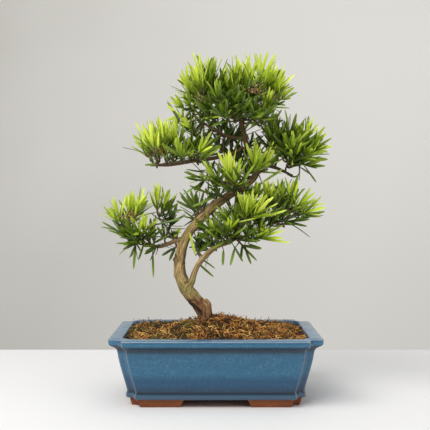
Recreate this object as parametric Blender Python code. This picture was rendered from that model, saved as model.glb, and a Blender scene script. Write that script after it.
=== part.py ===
"""A Buddhist pine grown as an S-curved bonsai, in its glazed rectangular pot.

Metres, +Z up. The origin is the middle of the pot's footprint, on the surface it stands on.
The long side of the pot runs along X, and the tree's face looks along -Y.
"""

import math
import random

import bmesh
import bpy
from mathutils import Matrix, Vector, noise
from mathutils.bvhtree import BVHTree

# Pot: the outline's half sizes, and the sunk corner's reach along X and Y, at each height
POT_HEIGHT = 0.078
POT_HALF_LENGTH = 0.120
POT_HALF_WIDTH = 0.086
FOOT_HEIGHT = 0.0090
FLOOR_TOP = 0.016
RIM_WIDTH = 0.017
EDGE_SOFTENING = 0.0016
OUTER_LEVELS = (
    # height, inset from the rim's half sizes, notch along X, notch along Y
    (0.0, 0.0245, 0.010, 0.0115),
    (FOOT_HEIGHT, 0.0225, 0.010, 0.0115),
    (0.0094, 0.0205, 0.0105, 0.012),
    (0.0110, 0.0185, 0.0105, 0.012),
    (0.0145, 0.0185, 0.0105, 0.012),
    (0.0160, 0.0202, 0.0105, 0.012),
    (0.0300, 0.0168, 0.0105, 0.012),
    (0.0450, 0.0130, 0.0105, 0.012),
    (0.0570, 0.0104, 0.0105, 0.012),
    (0.0630, 0.0090, 0.0110, 0.0125),
    (0.0675, 0.0062, 0.0125, 0.013),
    (0.0705, 0.0024, 0.0145, 0.0145),
    (0.0720, 0.0004, 0.0160, 0.0160),
    (0.0765, 0.0, 0.0163, 0.0163),
    (POT_HEIGHT, 0.0018, 0.0158, 0.0158),
)
NOTCH_FLAT_SHARE = 0.65
WALL_RADIUS = 0.016
INNER_LEVELS = ((POT_HEIGHT, 0.0), (0.0765, 0.0012), (0.060, 0.0010), (FLOOR_TOP, 0.011))
CORNER_STEPS = 6

# The gaps that leave four angle-shaped feet: half widths at the top and at the ground
GAP_ALONG_X = (0.0355, 0.0405)
GAP_ALONG_Y = (0.0250, 0.0290)
FOOT_RUN = 0.013

DRAIN_X = 0.045
DRAIN_RADIUS = 0.008
SCREEN_SIDE = 0.024
SCREEN_THICKNESS = 0.001
SCREEN_HOLES = 3

CLEARANCE = 0.0003

# Ground: the moss is lowest at the pot's wall and heaped round the trunk
MOSS_EDGE = 0.073
MOSS_HEAP = 0.022
HEAP_MIDDLE = (0.004, 0.0)
HEAP_REACH = (0.050, 0.046)
MOSS_DEPTH = 0.007
MOSS_BUMP = 0.0026
MOSS_BUMP_SIZE = 0.011
GROUND_SIDES = 40
GROUND_RINGS = 7
BED_SHARES = (0.75, 0.5, 0.25, 0.0)
BED_GAP = 0.0005
TRUNK_HOLE_TOP = (-0.0127, 0.0006, 0.0124)
TRUNK_HOLE_BOTTOM = (-0.0125, 0.0010, 0.0132)

# Wood: x, y, z and radius along each stem's middle line
TRUNK = (
    (-0.0115, 0.002, 0.0580, 0.0105),
    (-0.0120, 0.002, 0.0740, 0.0115),
    (-0.0125, 0.001, 0.0880, 0.0105),
    (-0.0135, 0.000, 0.0980, 0.0090),
    (-0.0185, -0.001, 0.1065, 0.0086),
    (-0.0245, -0.002, 0.1140, 0.0082),
    (-0.0325, -0.003, 0.1240, 0.0080),
    (-0.0385, -0.004, 0.1350, 0.0072),
    (-0.0420, -0.005, 0.1460, 0.0066),
    (-0.0428, -0.005, 0.1590, 0.0064),
    (-0.0405, -0.005, 0.1740, 0.0059),
    (-0.0362, -0.004, 0.1870, 0.0056),
    (-0.0295, -0.003, 0.1970, 0.0055),
    (-0.0220, -0.001, 0.2055, 0.0054),
    (-0.0065, 0.001, 0.2215, 0.0053),
    (0.0045, 0.003, 0.2300, 0.0052),
    (0.0160, 0.005, 0.2385, 0.0049),
    (0.0280, 0.007, 0.2455, 0.0046),
    (0.0400, 0.009, 0.2535, 0.0043),
    (0.0490, 0.009, 0.2650, 0.0041),
    (0.0490, 0.008, 0.2785, 0.0038),
    (0.0415, 0.006, 0.2885, 0.0036),
    (0.0345, 0.004, 0.2990, 0.0034),
    (0.0320, 0.002, 0.3130, 0.0031),
    (0.0295, 0.001, 0.3290, 0.0027),
)
BRANCHES = {
    "low_right": (
        (-0.0345, -0.004, 0.1275, 0.0046),
        (-0.0298, -0.006, 0.1350, 0.0036),
        (-0.0260, -0.009, 0.1465, 0.0031),
        (-0.0213, -0.012, 0.1575, 0.0030),
        (-0.0131, -0.015, 0.1675, 0.0030),
        (-0.0040, -0.018, 0.1755, 0.0029),
        (0.0040, -0.020, 0.1790, 0.0026),
        (0.0125, -0.021, 0.1815, 0.0023),
        (0.0200, -0.021, 0.1850, 0.0020),
    ),
    "low_left": (
        (-0.0375, -0.004, 0.1860, 0.0036),
        (-0.0465, -0.004, 0.1845, 0.0028),
        (-0.0545, -0.004, 0.1810, 0.0026),
        (-0.0670, -0.004, 0.1770, 0.0024),
        (-0.0780, -0.004, 0.1780, 0.0022),
        (-0.0860, -0.004, 0.1815, 0.0019),
    ),
    "middle_left": (
        (0.0330, 0.004, 0.2960, 0.0029),
        (0.0240, 0.002, 0.2895, 0.0025),
        (0.0110, 0.000, 0.2850, 0.0024),
        (-0.0060, -0.002, 0.2818, 0.0023),
        (-0.0240, -0.003, 0.2808, 0.0022),
        (-0.0400, -0.003, 0.2795, 0.0019),
    ),
    "upper_left": (
        (0.0330, 0.003, 0.3060, 0.0026),
        (0.0200, 0.000, 0.3070, 0.0020),
        (0.0075, -0.002, 0.3110, 0.0018),
        (-0.0030, -0.003, 0.3165, 0.0017),
        (-0.0130, -0.003, 0.3230, 0.0015),
    ),
    "middle_right": (
        (0.0490, 0.009, 0.2680, 0.0030),
        (0.0560, 0.010, 0.2725, 0.0025),
        (0.0640, 0.010, 0.2735, 0.0022),
        (0.0745, 0.009, 0.2705, 0.0020),
        (0.0840, 0.008, 0.2660, 0.0017),
    ),
    "centre": (
        (0.0280, 0.007, 0.2455, 0.0030),
        (0.0265, -0.001, 0.2485, 0.0020),
        (0.0240, -0.008, 0.2510, 0.0018),
    ),
    "inner_left": (
        (-0.0120, 0.001, 0.2160, 0.0028),
        (-0.0165, 0.001, 0.2200, 0.0018),
        (-0.0195, 0.001, 0.2225, 0.0015),
    ),
}
OLD_WOUND = (-0.0118, -0.0020, 0.1085)
OLD_WOUND_RADIUS = 0.0058
ROOTS = 4
ROOT_TOP = 0.080
ROOT_LENGTH = 0.052
ROOT_DROP = 0.030
ROOT_RADII = (0.0050, 0.0034, 0.0022, 0.0012)
TRUNK_SIDES = 10
BRANCH_SIDES = 6
TWIG_SIDES = 3
ROOT_SIDES = 5

# Foliage: each spray's tufts, as x, y and z of the tuft's middle and its lean in degrees towards +X.
# "behind" is how many of them, from the first, have a like tuft on the spray's far side.
SPRAYS = {
    "crown": {
        "branch": "trunk",
        "middle_y": 0.004,
        "depth": 0.050,
        "behind": 9,
        "tufts": (
            (-0.0308, -0.006, 0.3575, -16),
            (-0.0160, -0.018, 0.3650, -6),
            (0.0002, -0.006, 0.3740, -4),
            (0.0140, -0.030, 0.3595, 0),
            (0.0325, -0.004, 0.3770, 2),
            (0.0525, -0.014, 0.3655, 8),
            (0.0690, -0.004, 0.3555, 24),
            (0.0765, -0.012, 0.3460, 55),
            (0.0235, -0.036, 0.3510, 3),
            (0.0395, -0.030, 0.3475, 6),
            (-0.0045, -0.036, 0.3425, -8),
            (0.0540, -0.028, 0.3410, 20),
            (-0.0185, -0.030, 0.3430, -35),
        ),
    },
    "upper_left": {
        "branch": "upper_left",
        "middle_y": 0.002,
        "depth": 0.020,
        "behind": 1,
        "tufts": ((-0.0260, -0.006, 0.3390, -50), (-0.0290, -0.012, 0.3170, -30)),
    },
    "middle_left": {
        "branch": "middle_left",
        "middle_y": 0.000,
        "depth": 0.030,
        "behind": 5,
        "tufts": (
            (-0.0775, -0.006, 0.2880, -26),
            (-0.0700, -0.012, 0.2985, -4),
            (-0.0605, -0.020, 0.2985, -4),
            (-0.0475, -0.004, 0.3025, -3),
            (-0.0415, -0.020, 0.2820, -22),
            (-0.0220, -0.018, 0.2825, 20),
            (-0.0620, -0.002, 0.2790, -70),
        ),
    },
    "middle_right": {
        "branch": "middle_right",
        "middle_y": 0.008,
        "depth": 0.030,
        "behind": 4,
        "tufts": (
            (0.0740, -0.004, 0.2975, -6),
            (0.0875, -0.004, 0.3125, 6),
            (0.0980, -0.010, 0.3010, 6),
            (0.1110, -0.006, 0.2895, 40),
            (0.0850, -0.018, 0.2850, -4),
            (0.1000, -0.008, 0.2815, 60),
        ),
    },
    "centre": {
        "branch": "centre",
        "middle_y": -0.004,
        "depth": 0.030,
        "behind": 1,
        "tufts": (
            (0.0185, -0.022, 0.2480, -18),
            (0.0530, -0.018, 0.2700, 6),
            (-0.0045, -0.018, 0.2580, -55),
            (0.0300, -0.026, 0.2610, 4),
            (0.0070, -0.028, 0.2540, -14),
            (-0.0190, -0.012, 0.2540, -72),
        ),
    },
    "low_right": {
        "branch": "low_right",
        "middle_y": -0.006,
        "depth": 0.030,
        "behind": 5,
        "tufts": (
            (0.0130, -0.030, 0.1960, -16),
            (0.0330, -0.030, 0.2130, 4),
            (0.0475, -0.028, 0.1910, 50),
            (0.0965, -0.010, 0.2150, 38),
            (0.0700, -0.014, 0.2055, 10),
            (0.0190, -0.028, 0.1780, 165),
            (-0.0020, -0.016, 0.2050, -30),
            (0.0510, -0.030, 0.2100, 14),
        ),
    },
    "low_left": {
        "branch": "low_left",
        "middle_y": -0.004,
        "depth": 0.028,
        "behind": 5,
        "tufts": (
            (-0.1115, -0.012, 0.2035, -34),
            (-0.0965, -0.014, 0.2180, 2),
            (-0.0705, -0.014, 0.2225, 16),
            (-0.0800, -0.022, 0.2095, 2),
            (-0.0555, -0.004, 0.2020, 22),
            (-0.0930, -0.010, 0.1845, -105),
            (-0.0750, -0.012, 0.1840, 175),
        ),
    },
    "inner_left": {
        "branch": "inner_left",
        "middle_y": 0.004,
        "depth": 0.020,
        "behind": 1,
        "tufts": ((-0.0225, -0.004, 0.2205, -30),),
    },
}
SHOOT_LENGTH = 0.015
TUFT_MIDDLE = 0.008
STEM_START = 0.003
TWIG_BASE = 0.0020
TWIG_END = 0.0016
TWIG_TIP = 0.0012
LEAVES_ON_SHOOT = 14
LEAVES_KEPT = (0, 2, 5, 8, 11, 13)
LEAVES_BEHIND = (1, 5, 9, 13)
GOLDEN_TURN = math.radians(137.5)
OPEN_LOW = math.radians(88)
OPEN_TOP = math.radians(14)
LEAF_LENGTH = 0.038
LEAF_WIDTH = 0.0060
LEAF_KEEL = 0.0010
LEAF_STATIONS = ((0.0, 0.16), (0.46, 1.0))
LEAF_GAP = 0.0006
FREE_FROM = 0.3
TURNS_TRIED = (0, 14, -14, 28, -28, 42, -42, 56, -56, 70, -70, 90, -90)
TWIG_BOWS = ((0, 0, 0), (0, -1, 0), (0, 1, 0), (0, 0, 1), (0, 0, -1), (0, -2, 0), (0, 2, 0), (0, -1, 1), (0, 1, 1))
TWIG_BOW = 0.008
ROOM = (0.1395, 0.0845, 0.4100)


def new_object(name, bm, material):
    """A smooth-shaded object from a finished bmesh."""
    bmesh.ops.recalc_face_normals(bm, faces=bm.faces)
    mesh = bpy.data.meshes.new(name)
    bm.to_mesh(mesh)
    bm.free()
    mesh.shade_smooth()
    mesh.set_sharp_from_angle(angle=math.radians(40))
    if material:
        mesh.materials.append(material)
    obj = bpy.data.objects.new(name, mesh)
    bpy.context.collection.objects.link(obj)
    return obj


def finish(name, colour, roughness, metallic=0.0):
    """A plain Principled material."""
    material = bpy.data.materials.new(name)
    material.use_nodes = True
    shader = material.node_tree.nodes["Principled BSDF"]
    shader.inputs["Base Color"].default_value = (*colour, 1.0)
    shader.inputs["Roughness"].default_value = roughness
    shader.inputs["Metallic"].default_value = metallic
    return material


def extrude_through(bm, rings, tip=None):
    """Extrudes a face from ring to ring, each a list of points, and on to a tip if there is one."""
    face = bm.faces.new([bm.verts.new(point) for point in rings[0]])
    ends = [*rings[1:]] if tip is None else [*rings[1:], [tip] * len(rings[0])]
    for number, ring in enumerate(ends):
        made = bmesh.ops.extrude_face_region(bm, geom=[face])["geom"]
        if number > 0:
            bmesh.ops.delete(bm, geom=[face], context="FACES_ONLY")
        face = next(item for item in made if isinstance(item, bmesh.types.BMFace))
        for vert, point in zip(face.verts, ring):
            vert.co = point
    if tip is not None:
        bmesh.ops.pointmerge(bm, verts=list(face.verts), merge_co=tip)


def smooth_path(points, steps):
    """A Catmull-Rom curve through rows of numbers, with this many steps from row to row."""
    rows = [Vector(row) for row in points]
    rows = [2 * rows[0] - rows[1], *rows, 2 * rows[-1] - rows[-2]]
    path = []
    for a, b, c, d in zip(rows, rows[1:], rows[2:], rows[3:]):
        for step in range(steps):
            t = step / steps
            path.append(
                0.5 * (2 * b + (c - a) * t + (2 * a - 5 * b + 4 * c - d) * t**2 + (3 * b - a - 3 * c + d) * t**3)
            )
    return [*path, rows[-2]]


def tube(path, sides, bumps=0.0):
    """A bmesh tube along rows of x, y, z and radius, its radius varied by a share called bumps."""
    middles = [Vector(row[:3]) for row in path]
    tangents = [
        (middles[min(i + 1, len(middles) - 1)] - middles[max(i - 1, 0)]).normalized() for i in range(len(middles))
    ]
    across = tangents[0].orthogonal().normalized()
    rings = []
    for middle, tangent, row in zip(middles, tangents, path):
        across = (across - tangent * across.dot(tangent)).normalized()
        beside = tangent.cross(across)
        ring = []
        for k in range(sides):
            angle = math.tau * k / sides
            out = across * math.cos(angle) + beside * math.sin(angle)
            swell = 1 + bumps * noise.noise((middle + out * row[3]) / 0.008)
            ring.append(middle + out * row[3] * swell)
        rings.append(ring)
    bm = bmesh.new()
    extrude_through(bm, rings)
    return bm


def joined(name, solids, material, solver="EXACT"):
    """One object from overlapping solids, by one Boolean union on the collection of all but the first."""
    first = new_object(name, solids[0], material)
    others = bpy.data.collections.new(name + "_pieces")
    bpy.context.scene.collection.children.link(others)
    for bm in solids[1:]:
        piece = new_object(name + "_piece", bm, None)
        bpy.context.collection.objects.unlink(piece)
        others.objects.link(piece)
    union = first.modifiers.new("union", "BOOLEAN")
    union.operation = "UNION"
    union.operand_type = "COLLECTION"
    union.collection = others
    union.solver = solver
    apply_modifiers(first)
    for piece in list(others.objects):
        bpy.data.objects.remove(piece)
    bpy.data.collections.remove(others)
    return first


def cut(obj, cutters):
    """Cuts each bmesh out of an object."""
    for bm in cutters:
        cutter = new_object(obj.name + "_cutter", bm, None)
        difference = obj.modifiers.new("cut", "BOOLEAN")
        difference.operation = "DIFFERENCE"
        difference.object = cutter
        apply_modifiers(obj)
        bpy.data.objects.remove(cutter)


def apply_modifiers(obj):
    graph = bpy.context.evaluated_depsgraph_get()
    graph.update()
    mesh = bpy.data.meshes.new_from_object(obj.evaluated_get(graph))
    mesh.name = obj.name
    obj.modifiers.clear()
    obj.data = mesh


def block(low, high):
    """A bmesh box between two corners."""
    bm = bmesh.new()
    size = Vector(high) - Vector(low)
    middle = (Vector(high) + Vector(low)) / 2
    bmesh.ops.create_cube(bm, size=1.0, matrix=Matrix.Translation(middle) @ Matrix.Diagonal((*size, 1.0)))
    return bm


def mirrored_quarters(quarter):
    """A closed outline from the points of its +X +Y quarter, given from the X axis towards the Y axis."""
    right_back = list(quarter)
    left_back = [(-x, y) for x, y in reversed(quarter)]
    left_front = [(-x, -y) for x, y in quarter]
    right_front = [(x, -y) for x, y in reversed(quarter)]
    return right_back + left_back + left_front + right_front


def notched_outline(inset, notch_x, notch_y):
    """The pot's outside at one height: a rectangle whose corners are stepped in."""
    length, width = POT_HALF_LENGTH - inset, POT_HALF_WIDTH - inset
    soft = EDGE_SOFTENING
    return mirrored_quarters(
        (
            (length, width - notch_y - soft),
            (length - soft, width - notch_y),
            (length - notch_x * NOTCH_FLAT_SHARE, width - notch_y),
            (length - notch_x, width - notch_y * NOTCH_FLAT_SHARE),
            (length - notch_x, width - soft),
            (length - notch_x - soft, width),
        )
    )


def round_outline(half_length, half_width):
    """A rectangle with round corners."""
    quarter = []
    for step in range(CORNER_STEPS):
        angle = math.radians(90) * step / (CORNER_STEPS - 1)
        x = half_length - WALL_RADIUS + WALL_RADIUS * math.cos(angle)
        quarter.append((x, half_width - WALL_RADIUS + WALL_RADIUS * math.sin(angle)))
    return mirrored_quarters(quarter)


def ground_outline(half_length, half_width):
    """A round-cornered rectangle with its points evenly spaced along it."""
    corners = [Vector(point) for point in round_outline(half_length, half_width)]
    sides = list(zip(corners, corners[1:] + corners[:1]))
    pitch = sum((b - a).length for a, b in sides) / GROUND_SIDES
    points, travelled = [], 0.0
    for a, b in sides:
        while len(points) * pitch < travelled + (b - a).length and len(points) < GROUND_SIDES:
            points.append(a.lerp(b, (len(points) * pitch - travelled) / (b - a).length))
        travelled += (b - a).length
    return points


def inner_half_sizes(height):
    """The half length and half width inside the pot's wall."""
    rows = sorted((level, inset) for level, inset in INNER_LEVELS)
    for (low, low_inset), (high, high_inset) in zip(rows, rows[1:]):
        if height <= high:
            share = max(0.0, (height - low) / (high - low))
            inset = low_inset + (high_inset - low_inset) * share
            break
    return POT_HALF_LENGTH - RIM_WIDTH - inset, POT_HALF_WIDTH - RIM_WIDTH - inset


def gap_cutter(halves, along_y):
    """A channel under the pot, wider at the ground than at the top, through both sides."""
    top, ground = halves
    reach = POT_HALF_LENGTH
    profile = ((-ground, -0.001), (ground, -0.001), (top, FOOT_HEIGHT), (-top, FOOT_HEIGHT))
    if along_y:
        rings = [[(x, y, z) for x, z in profile] for y in (-reach, reach)]
    else:
        rings = [[(x, y, z) for y, z in profile] for x in (-reach, reach)]
    bm = bmesh.new()
    extrude_through(bm, rings)
    bmesh.ops.recalc_face_normals(bm, faces=bm.faces)
    return bm


def round_cutter(x, radius, low, high):
    bm = bmesh.new()
    place = Matrix.Translation((x, 0.0, (low + high) / 2))
    bmesh.ops.create_cone(
        bm, cap_ends=True, segments=20, radius1=radius, radius2=radius, depth=high - low, matrix=place
    )
    return bm


def make_pot(material):
    rings = [[(x, y, z) for x, y in notched_outline(*row)] for z, *row in OUTER_LEVELS]
    for z, inset in INNER_LEVELS:
        halves = (POT_HALF_LENGTH - RIM_WIDTH - inset, POT_HALF_WIDTH - RIM_WIDTH - inset)
        rings.append([(x, y, z) for x, y in round_outline(*halves)])
    bm = bmesh.new()
    extrude_through(bm, rings)
    pot = new_object("pot", bm, material)
    foot_inset = OUTER_LEVELS[0][1] + FOOT_RUN
    recess = block(
        (foot_inset - POT_HALF_LENGTH, foot_inset - POT_HALF_WIDTH, -0.001),
        (POT_HALF_LENGTH - foot_inset, POT_HALF_WIDTH - foot_inset, FOOT_HEIGHT),
    )
    drains = [round_cutter(side * DRAIN_X, DRAIN_RADIUS, 0.0, FLOOR_TOP + 0.004) for side in (-1, 1)]
    cut(pot, [gap_cutter(GAP_ALONG_X, True), gap_cutter(GAP_ALONG_Y, False), recess, *drains])
    pot.data.shade_smooth()
    pot.data.set_sharp_from_angle(angle=math.radians(35))
    return pot


def make_screens(material):
    """The plastic nets over the drain holes, one mesh placed twice."""
    pitch = SCREEN_SIDE / (SCREEN_HOLES * 1.5 + 0.5)
    first = block((-SCREEN_SIDE / 2, -SCREEN_SIDE / 2, 0.0), (SCREEN_SIDE / 2, SCREEN_SIDE / 2, SCREEN_THICKNESS))
    screen = new_object("drain_screen_left", first, material)
    holes = []
    for i in range(SCREEN_HOLES):
        for j in range(SCREEN_HOLES):
            x = -SCREEN_SIDE / 2 + pitch * (0.5 + 1.5 * i)
            y = -SCREEN_SIDE / 2 + pitch * (0.5 + 1.5 * j)
            holes.append(block((x, y, -0.001), (x + pitch, y + pitch, SCREEN_THICKNESS + 0.001)))
    cut(screen, holes)
    screen.location = (-DRAIN_X, 0.0, FLOOR_TOP + CLEARANCE)
    copy = bpy.data.objects.new("drain_screen_right", screen.data)
    copy.location = (DRAIN_X, 0.0, FLOOR_TOP + CLEARANCE)
    bpy.context.collection.objects.link(copy)


def heap_height(x, y):
    """The ground's height without its bumps."""
    along = (x - HEAP_MIDDLE[0]) / HEAP_REACH[0]
    across = (y - HEAP_MIDDLE[1]) / HEAP_REACH[1]
    return MOSS_EDGE + MOSS_HEAP * math.exp(-(along**2) - across**2)


def moss_height(x, y):
    bump = noise.noise(Vector((x, y, 0.0)) / MOSS_BUMP_SIZE) + 0.5 * noise.noise(Vector((y, x, 0.03)) / 0.006)
    return heap_height(x, y) + MOSS_BUMP * bump


def ground_ring(share, hole, outer_halves, height):
    """One ring of ground, from the trunk's hole at share 0 to the pot's wall at share 1."""
    hole_x, hole_y, hole_radius = hole
    ring = []
    for x, y in ground_outline(*outer_halves):
        towards = math.atan2(y - hole_y, x - hole_x)
        near = Vector((hole_x + hole_radius * math.cos(towards), hole_y + hole_radius * math.sin(towards)))
        point = near.lerp(Vector((x, y)), share)
        ring.append((point.x, point.y, height(point.x, point.y)))
    return ring


def make_moss(material):
    """A ring of moss between the trunk and the wall, its top bumpy."""
    top_halves = [half - 0.0005 for half in inner_half_sizes(MOSS_EDGE - MOSS_DEPTH)]
    shares = [(k / GROUND_RINGS) ** 0.9 for k in range(GROUND_RINGS + 1)]
    top = [ground_ring(s, TRUNK_HOLE_TOP, top_halves, moss_height) for s in shares]
    bottom = [
        ground_ring(s, TRUNK_HOLE_BOTTOM, top_halves, lambda x, y: heap_height(x, y) - MOSS_DEPTH)
        for s in (1.0, *BED_SHARES)
    ]
    bm = bmesh.new()
    loops = []
    for ring in top + bottom:
        verts = [bm.verts.new(point) for point in ring]
        loops.append([bm.edges.new((verts[k - 1], verts[k])) for k in range(len(verts))])
    for first, second in zip(loops, loops[1:] + loops[:1]):
        bmesh.ops.bridge_loops(bm, edges=first + second)
    return new_object("moss", bm, material)


def stem_solids(grow=0.0):
    """The trunk, its roots, branches and the healed wound, all made thicker by grow."""
    solids = [tube([(*row[:3], row[3] + grow) for row in smooth_path(TRUNK, 2)], TRUNK_SIDES, 0.10)]
    for points in BRANCHES.values():
        solids.append(tube([(*row[:3], row[3] + grow) for row in points], BRANCH_SIDES, 0.08))
    wound = bmesh.new()
    bmesh.ops.create_icosphere(
        wound, subdivisions=2, radius=OLD_WOUND_RADIUS + grow, matrix=Matrix.Translation(OLD_WOUND)
    )
    return solids + [wound] + root_solids(grow)


def root_solids(grow):
    """Roots that run out and down through the soil."""
    draw = random.Random(7)
    foot = Vector(TRUNK[1][:2])
    solids = []
    for k in range(ROOTS):
        angle = math.tau * (k + draw.uniform(-0.2, 0.2)) / ROOTS
        path = []
        for step, radius in enumerate(ROOT_RADII):
            share = step / (len(ROOT_RADII) - 1)
            turn = angle + 0.3 * share * draw.uniform(-1, 1)
            reach = ROOT_LENGTH * share
            spot = foot + Vector((math.cos(turn), math.sin(turn))) * reach
            path.append((spot.x, spot.y, ROOT_TOP - ROOT_DROP * share**1.3, radius + grow))
        solids.append(tube(path, ROOT_SIDES))
    return solids


def make_soil(material):
    """Soil from the pot's floor up to the moss, with the wood and the screens cut out of it."""
    under_moss = MOSS_EDGE - MOSS_DEPTH - BED_GAP
    levels = (FLOOR_TOP + CLEARANCE, 0.060, under_moss)
    rings = []
    for z in levels:
        halves = [half - 0.0005 for half in inner_half_sizes(z)]
        rings.append([(x, y, z) for x, y in ground_outline(*halves)])
    top_halves = [half - 0.0005 for half in inner_half_sizes(MOSS_EDGE - MOSS_DEPTH)]
    for share in BED_SHARES:
        rings.append(
            ground_ring(
                share, TRUNK_HOLE_BOTTOM, top_halves, lambda x, y: heap_height(x, y) - MOSS_DEPTH - BED_GAP
            )
        )
    bm = bmesh.new()
    extrude_through(bm, rings)
    soil = new_object("soil", bm, material)
    wood = joined("wood_cutter", [stem_solids(CLEARANCE)[0], *root_solids(CLEARANCE)], None)
    hole = bmesh.new()
    hole.from_mesh(wood.data)
    bpy.data.objects.remove(wood)
    screens = []
    for side in (-1, 1):
        half = SCREEN_SIDE / 2 + CLEARANCE
        low = (side * DRAIN_X - half, -half, FLOOR_TOP - 0.001)
        high = (side * DRAIN_X + half, half, FLOOR_TOP + SCREEN_THICKNESS + 2 * CLEARANCE)
        screens.append(block(low, high))
    cut(soil, [hole, *screens])
    return soil


def lean_axis(lean, y, spray):
    """A shoot's direction: its lean across the view, and outward from the spray's middle in depth."""
    depth_lean = 0.55 * (y - spray["middle_y"]) / spray["depth"]
    angle = math.radians(lean)
    return Vector((math.sin(angle), depth_lean, math.cos(angle))).normalized()


def shoots_of(name):
    """Foot and direction of the shoot in every tuft of a spray, those on its far side included."""
    spray = SPRAYS[name]
    draw = random.Random(name)
    tufts = list(spray["tufts"])
    for x, y, z, lean in spray["tufts"][: spray["behind"]]:
        far_y = spray["middle_y"] + spray["depth"] * draw.uniform(0.25, 0.80)
        x += draw.uniform(-0.008, 0.008)
        tufts.append((x, far_y, z + draw.uniform(-0.010, 0.002), lean + draw.uniform(-14, 14)))
    shoots = []
    for x, y, z, lean in tufts:
        axis = lean_axis(lean, y, spray)
        shoots.append((Vector((x, y, z)) - axis * TUFT_MIDDLE, axis))
    return shoots


def twig_path(start, foot, axis, bow):
    """A twig that leaves the wood at start, bows aside and arrives at a shoot's foot along the shoot."""
    aside = Vector(bow) * TWIG_BOW
    leave = start + (foot - start) * 0.4 + aside
    arrive = foot - axis * (foot - start).length * 0.35 + aside
    points = []
    for t in (0.0, 0.5, 1.0):
        points.append(
            start * (1 - t) ** 3 + leave * (3 * t * (1 - t) ** 2) + arrive * (3 * t**2 * (1 - t)) + foot * t**3
        )
    return points


def clear_of(bm, trees):
    tree = bvh_of(bm)
    bm.free()
    return not any(tree.overlap(other) for other in trees)


def spray_twigs(name, trees):
    """A spray's twigs: a first stem that goes on from its branch, then one twig to each shoot, clear of the trees."""
    spray = SPRAYS[name]
    branch = TRUNK if spray["branch"] == "trunk" else BRANCHES[spray["branch"]]
    end, before = Vector(branch[-1][:3]), Vector(branch[-2][:3])
    ahead = (end - before).normalized()
    stem = [end + ahead * (CLEARANCE + STEM_START * k) for k in range(4)]
    radius = branch[-1][3] * 0.92
    paths = [[(*point, radius * (1 - 0.08 * k)) for k, point in enumerate(stem)]]
    wood = [(point, radius * 0.8, (point - end).length) for point in stem[2:]]
    shoots = []
    for foot, axis in sorted(shoots_of(name), key=lambda shoot: (shoot[0] - end).length):
        start, start_radius, run = min(wood, key=lambda item: (foot - item[0]).length + 0.4 * item[2])
        base = min(start_radius, TWIG_BASE)
        radii = (base, (base + TWIG_END) / 2, TWIG_END, TWIG_TIP)
        for bow in TWIG_BOWS:
            points = [*twig_path(start, foot, axis, bow), foot + axis * SHOOT_LENGTH]
            path = [(*point, r) for point, r in zip(points, radii)]
            if clear_of(tube([(*row[:3], row[3] + LEAF_GAP) for row in path], TWIG_SIDES), trees):
                paths.append(path)
                shoots.append((foot, axis))
                wood.append((points[1], radii[1], run + (points[1] - start).length))
                wood.append((points[2], radii[2], run + (foot - start).length))
                break
        else:
            print("shoot left out:", name, [round(c, 3) for c in foot])
    return paths, shoots


def leaf_frame(foot, axis, number, draw, extra_turn=0.0):
    """Root, direction, face normal, length, width and bend of one leaf of a shoot."""
    rise = number / (LEAVES_ON_SHOOT - 1)
    turn = number * GOLDEN_TURN + draw.uniform(-0.25, 0.25) + math.radians(extra_turn)
    opening = OPEN_LOW + (OPEN_TOP - OPEN_LOW) * rise**0.75 + math.radians(draw.uniform(-8, 8))
    side = axis.orthogonal().normalized()
    out = side * math.cos(turn) + axis.cross(side) * math.sin(turn)
    direction = (axis * math.cos(opening) + out * math.sin(opening)).normalized()
    face = (axis - direction * axis.dot(direction)).normalized()
    roll = math.radians(draw.uniform(-35, 35))
    normal = face * math.cos(roll) + direction.cross(face) * math.sin(roll)
    length = LEAF_LENGTH * draw.uniform(0.82, 1.12) * (0.86 + 0.14 * math.sin(math.pi * min(1.0, rise + 0.2)))
    width = LEAF_WIDTH * draw.uniform(0.85, 1.1)
    bend = draw.uniform(0.02, 0.30) * (1 - rise) + draw.uniform(-0.12, 0.08)
    root = foot + axis * SHOOT_LENGTH * (0.08 + 0.86 * rise)
    return root, direction, face, normal, length, width, bend


def leaf_solid(root, direction, face, normal, length, width, bend, grow=0.0, start=0.0):
    """A narrow pointed blade, flat above and keeled below, that bends towards its face."""
    across = direction.cross(normal).normalized()
    rings = []
    for t, share in LEAF_STATIONS:
        t = max(t, start)
        middle = root + direction * length * t + face * (length * bend * t * t)
        half = width / 2 * share + grow
        keel = LEAF_KEEL * (0.75 + 0.25 * share) + grow
        sides = [middle + across * half * side + normal * grow for side in (1, -1)]
        rings.append([*sides, middle - normal * keel])
    tip = root + direction * (length + grow) + face * (length * bend)
    bm = bmesh.new()
    extrude_through(bm, rings, tip)
    return bm


def leaf_tip(root, direction, face, normal, length, width, bend):
    return root + direction * length + face * (length * bend)


def in_room(point):
    return abs(point.x) < ROOM[0] and abs(point.y) < ROOM[1] and point.z < ROOM[2]


def bvh_of(bm):
    bmesh.ops.triangulate(bm, faces=bm.faces)
    return BVHTree.FromBMesh(bm)


def place_leaf(key, foot, axis, number, others, own, behind):
    """A leaf turned on its shoot until it is clear of the other nodes and of its own spray.

    On the near side a leaf that can't be clear of its own spray crosses it.
    """
    second_best = None
    for extra in TURNS_TRIED:
        frame = leaf_frame(foot, axis, number, random.Random(key), extra)
        if not in_room(leaf_tip(*frame)) or not clear_of(leaf_solid(*frame, grow=LEAF_GAP), others):
            continue
        if clear_of(leaf_solid(*frame, start=FREE_FROM), own):
            return frame
        second_best = second_best or frame
    return None if behind else second_best


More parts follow.
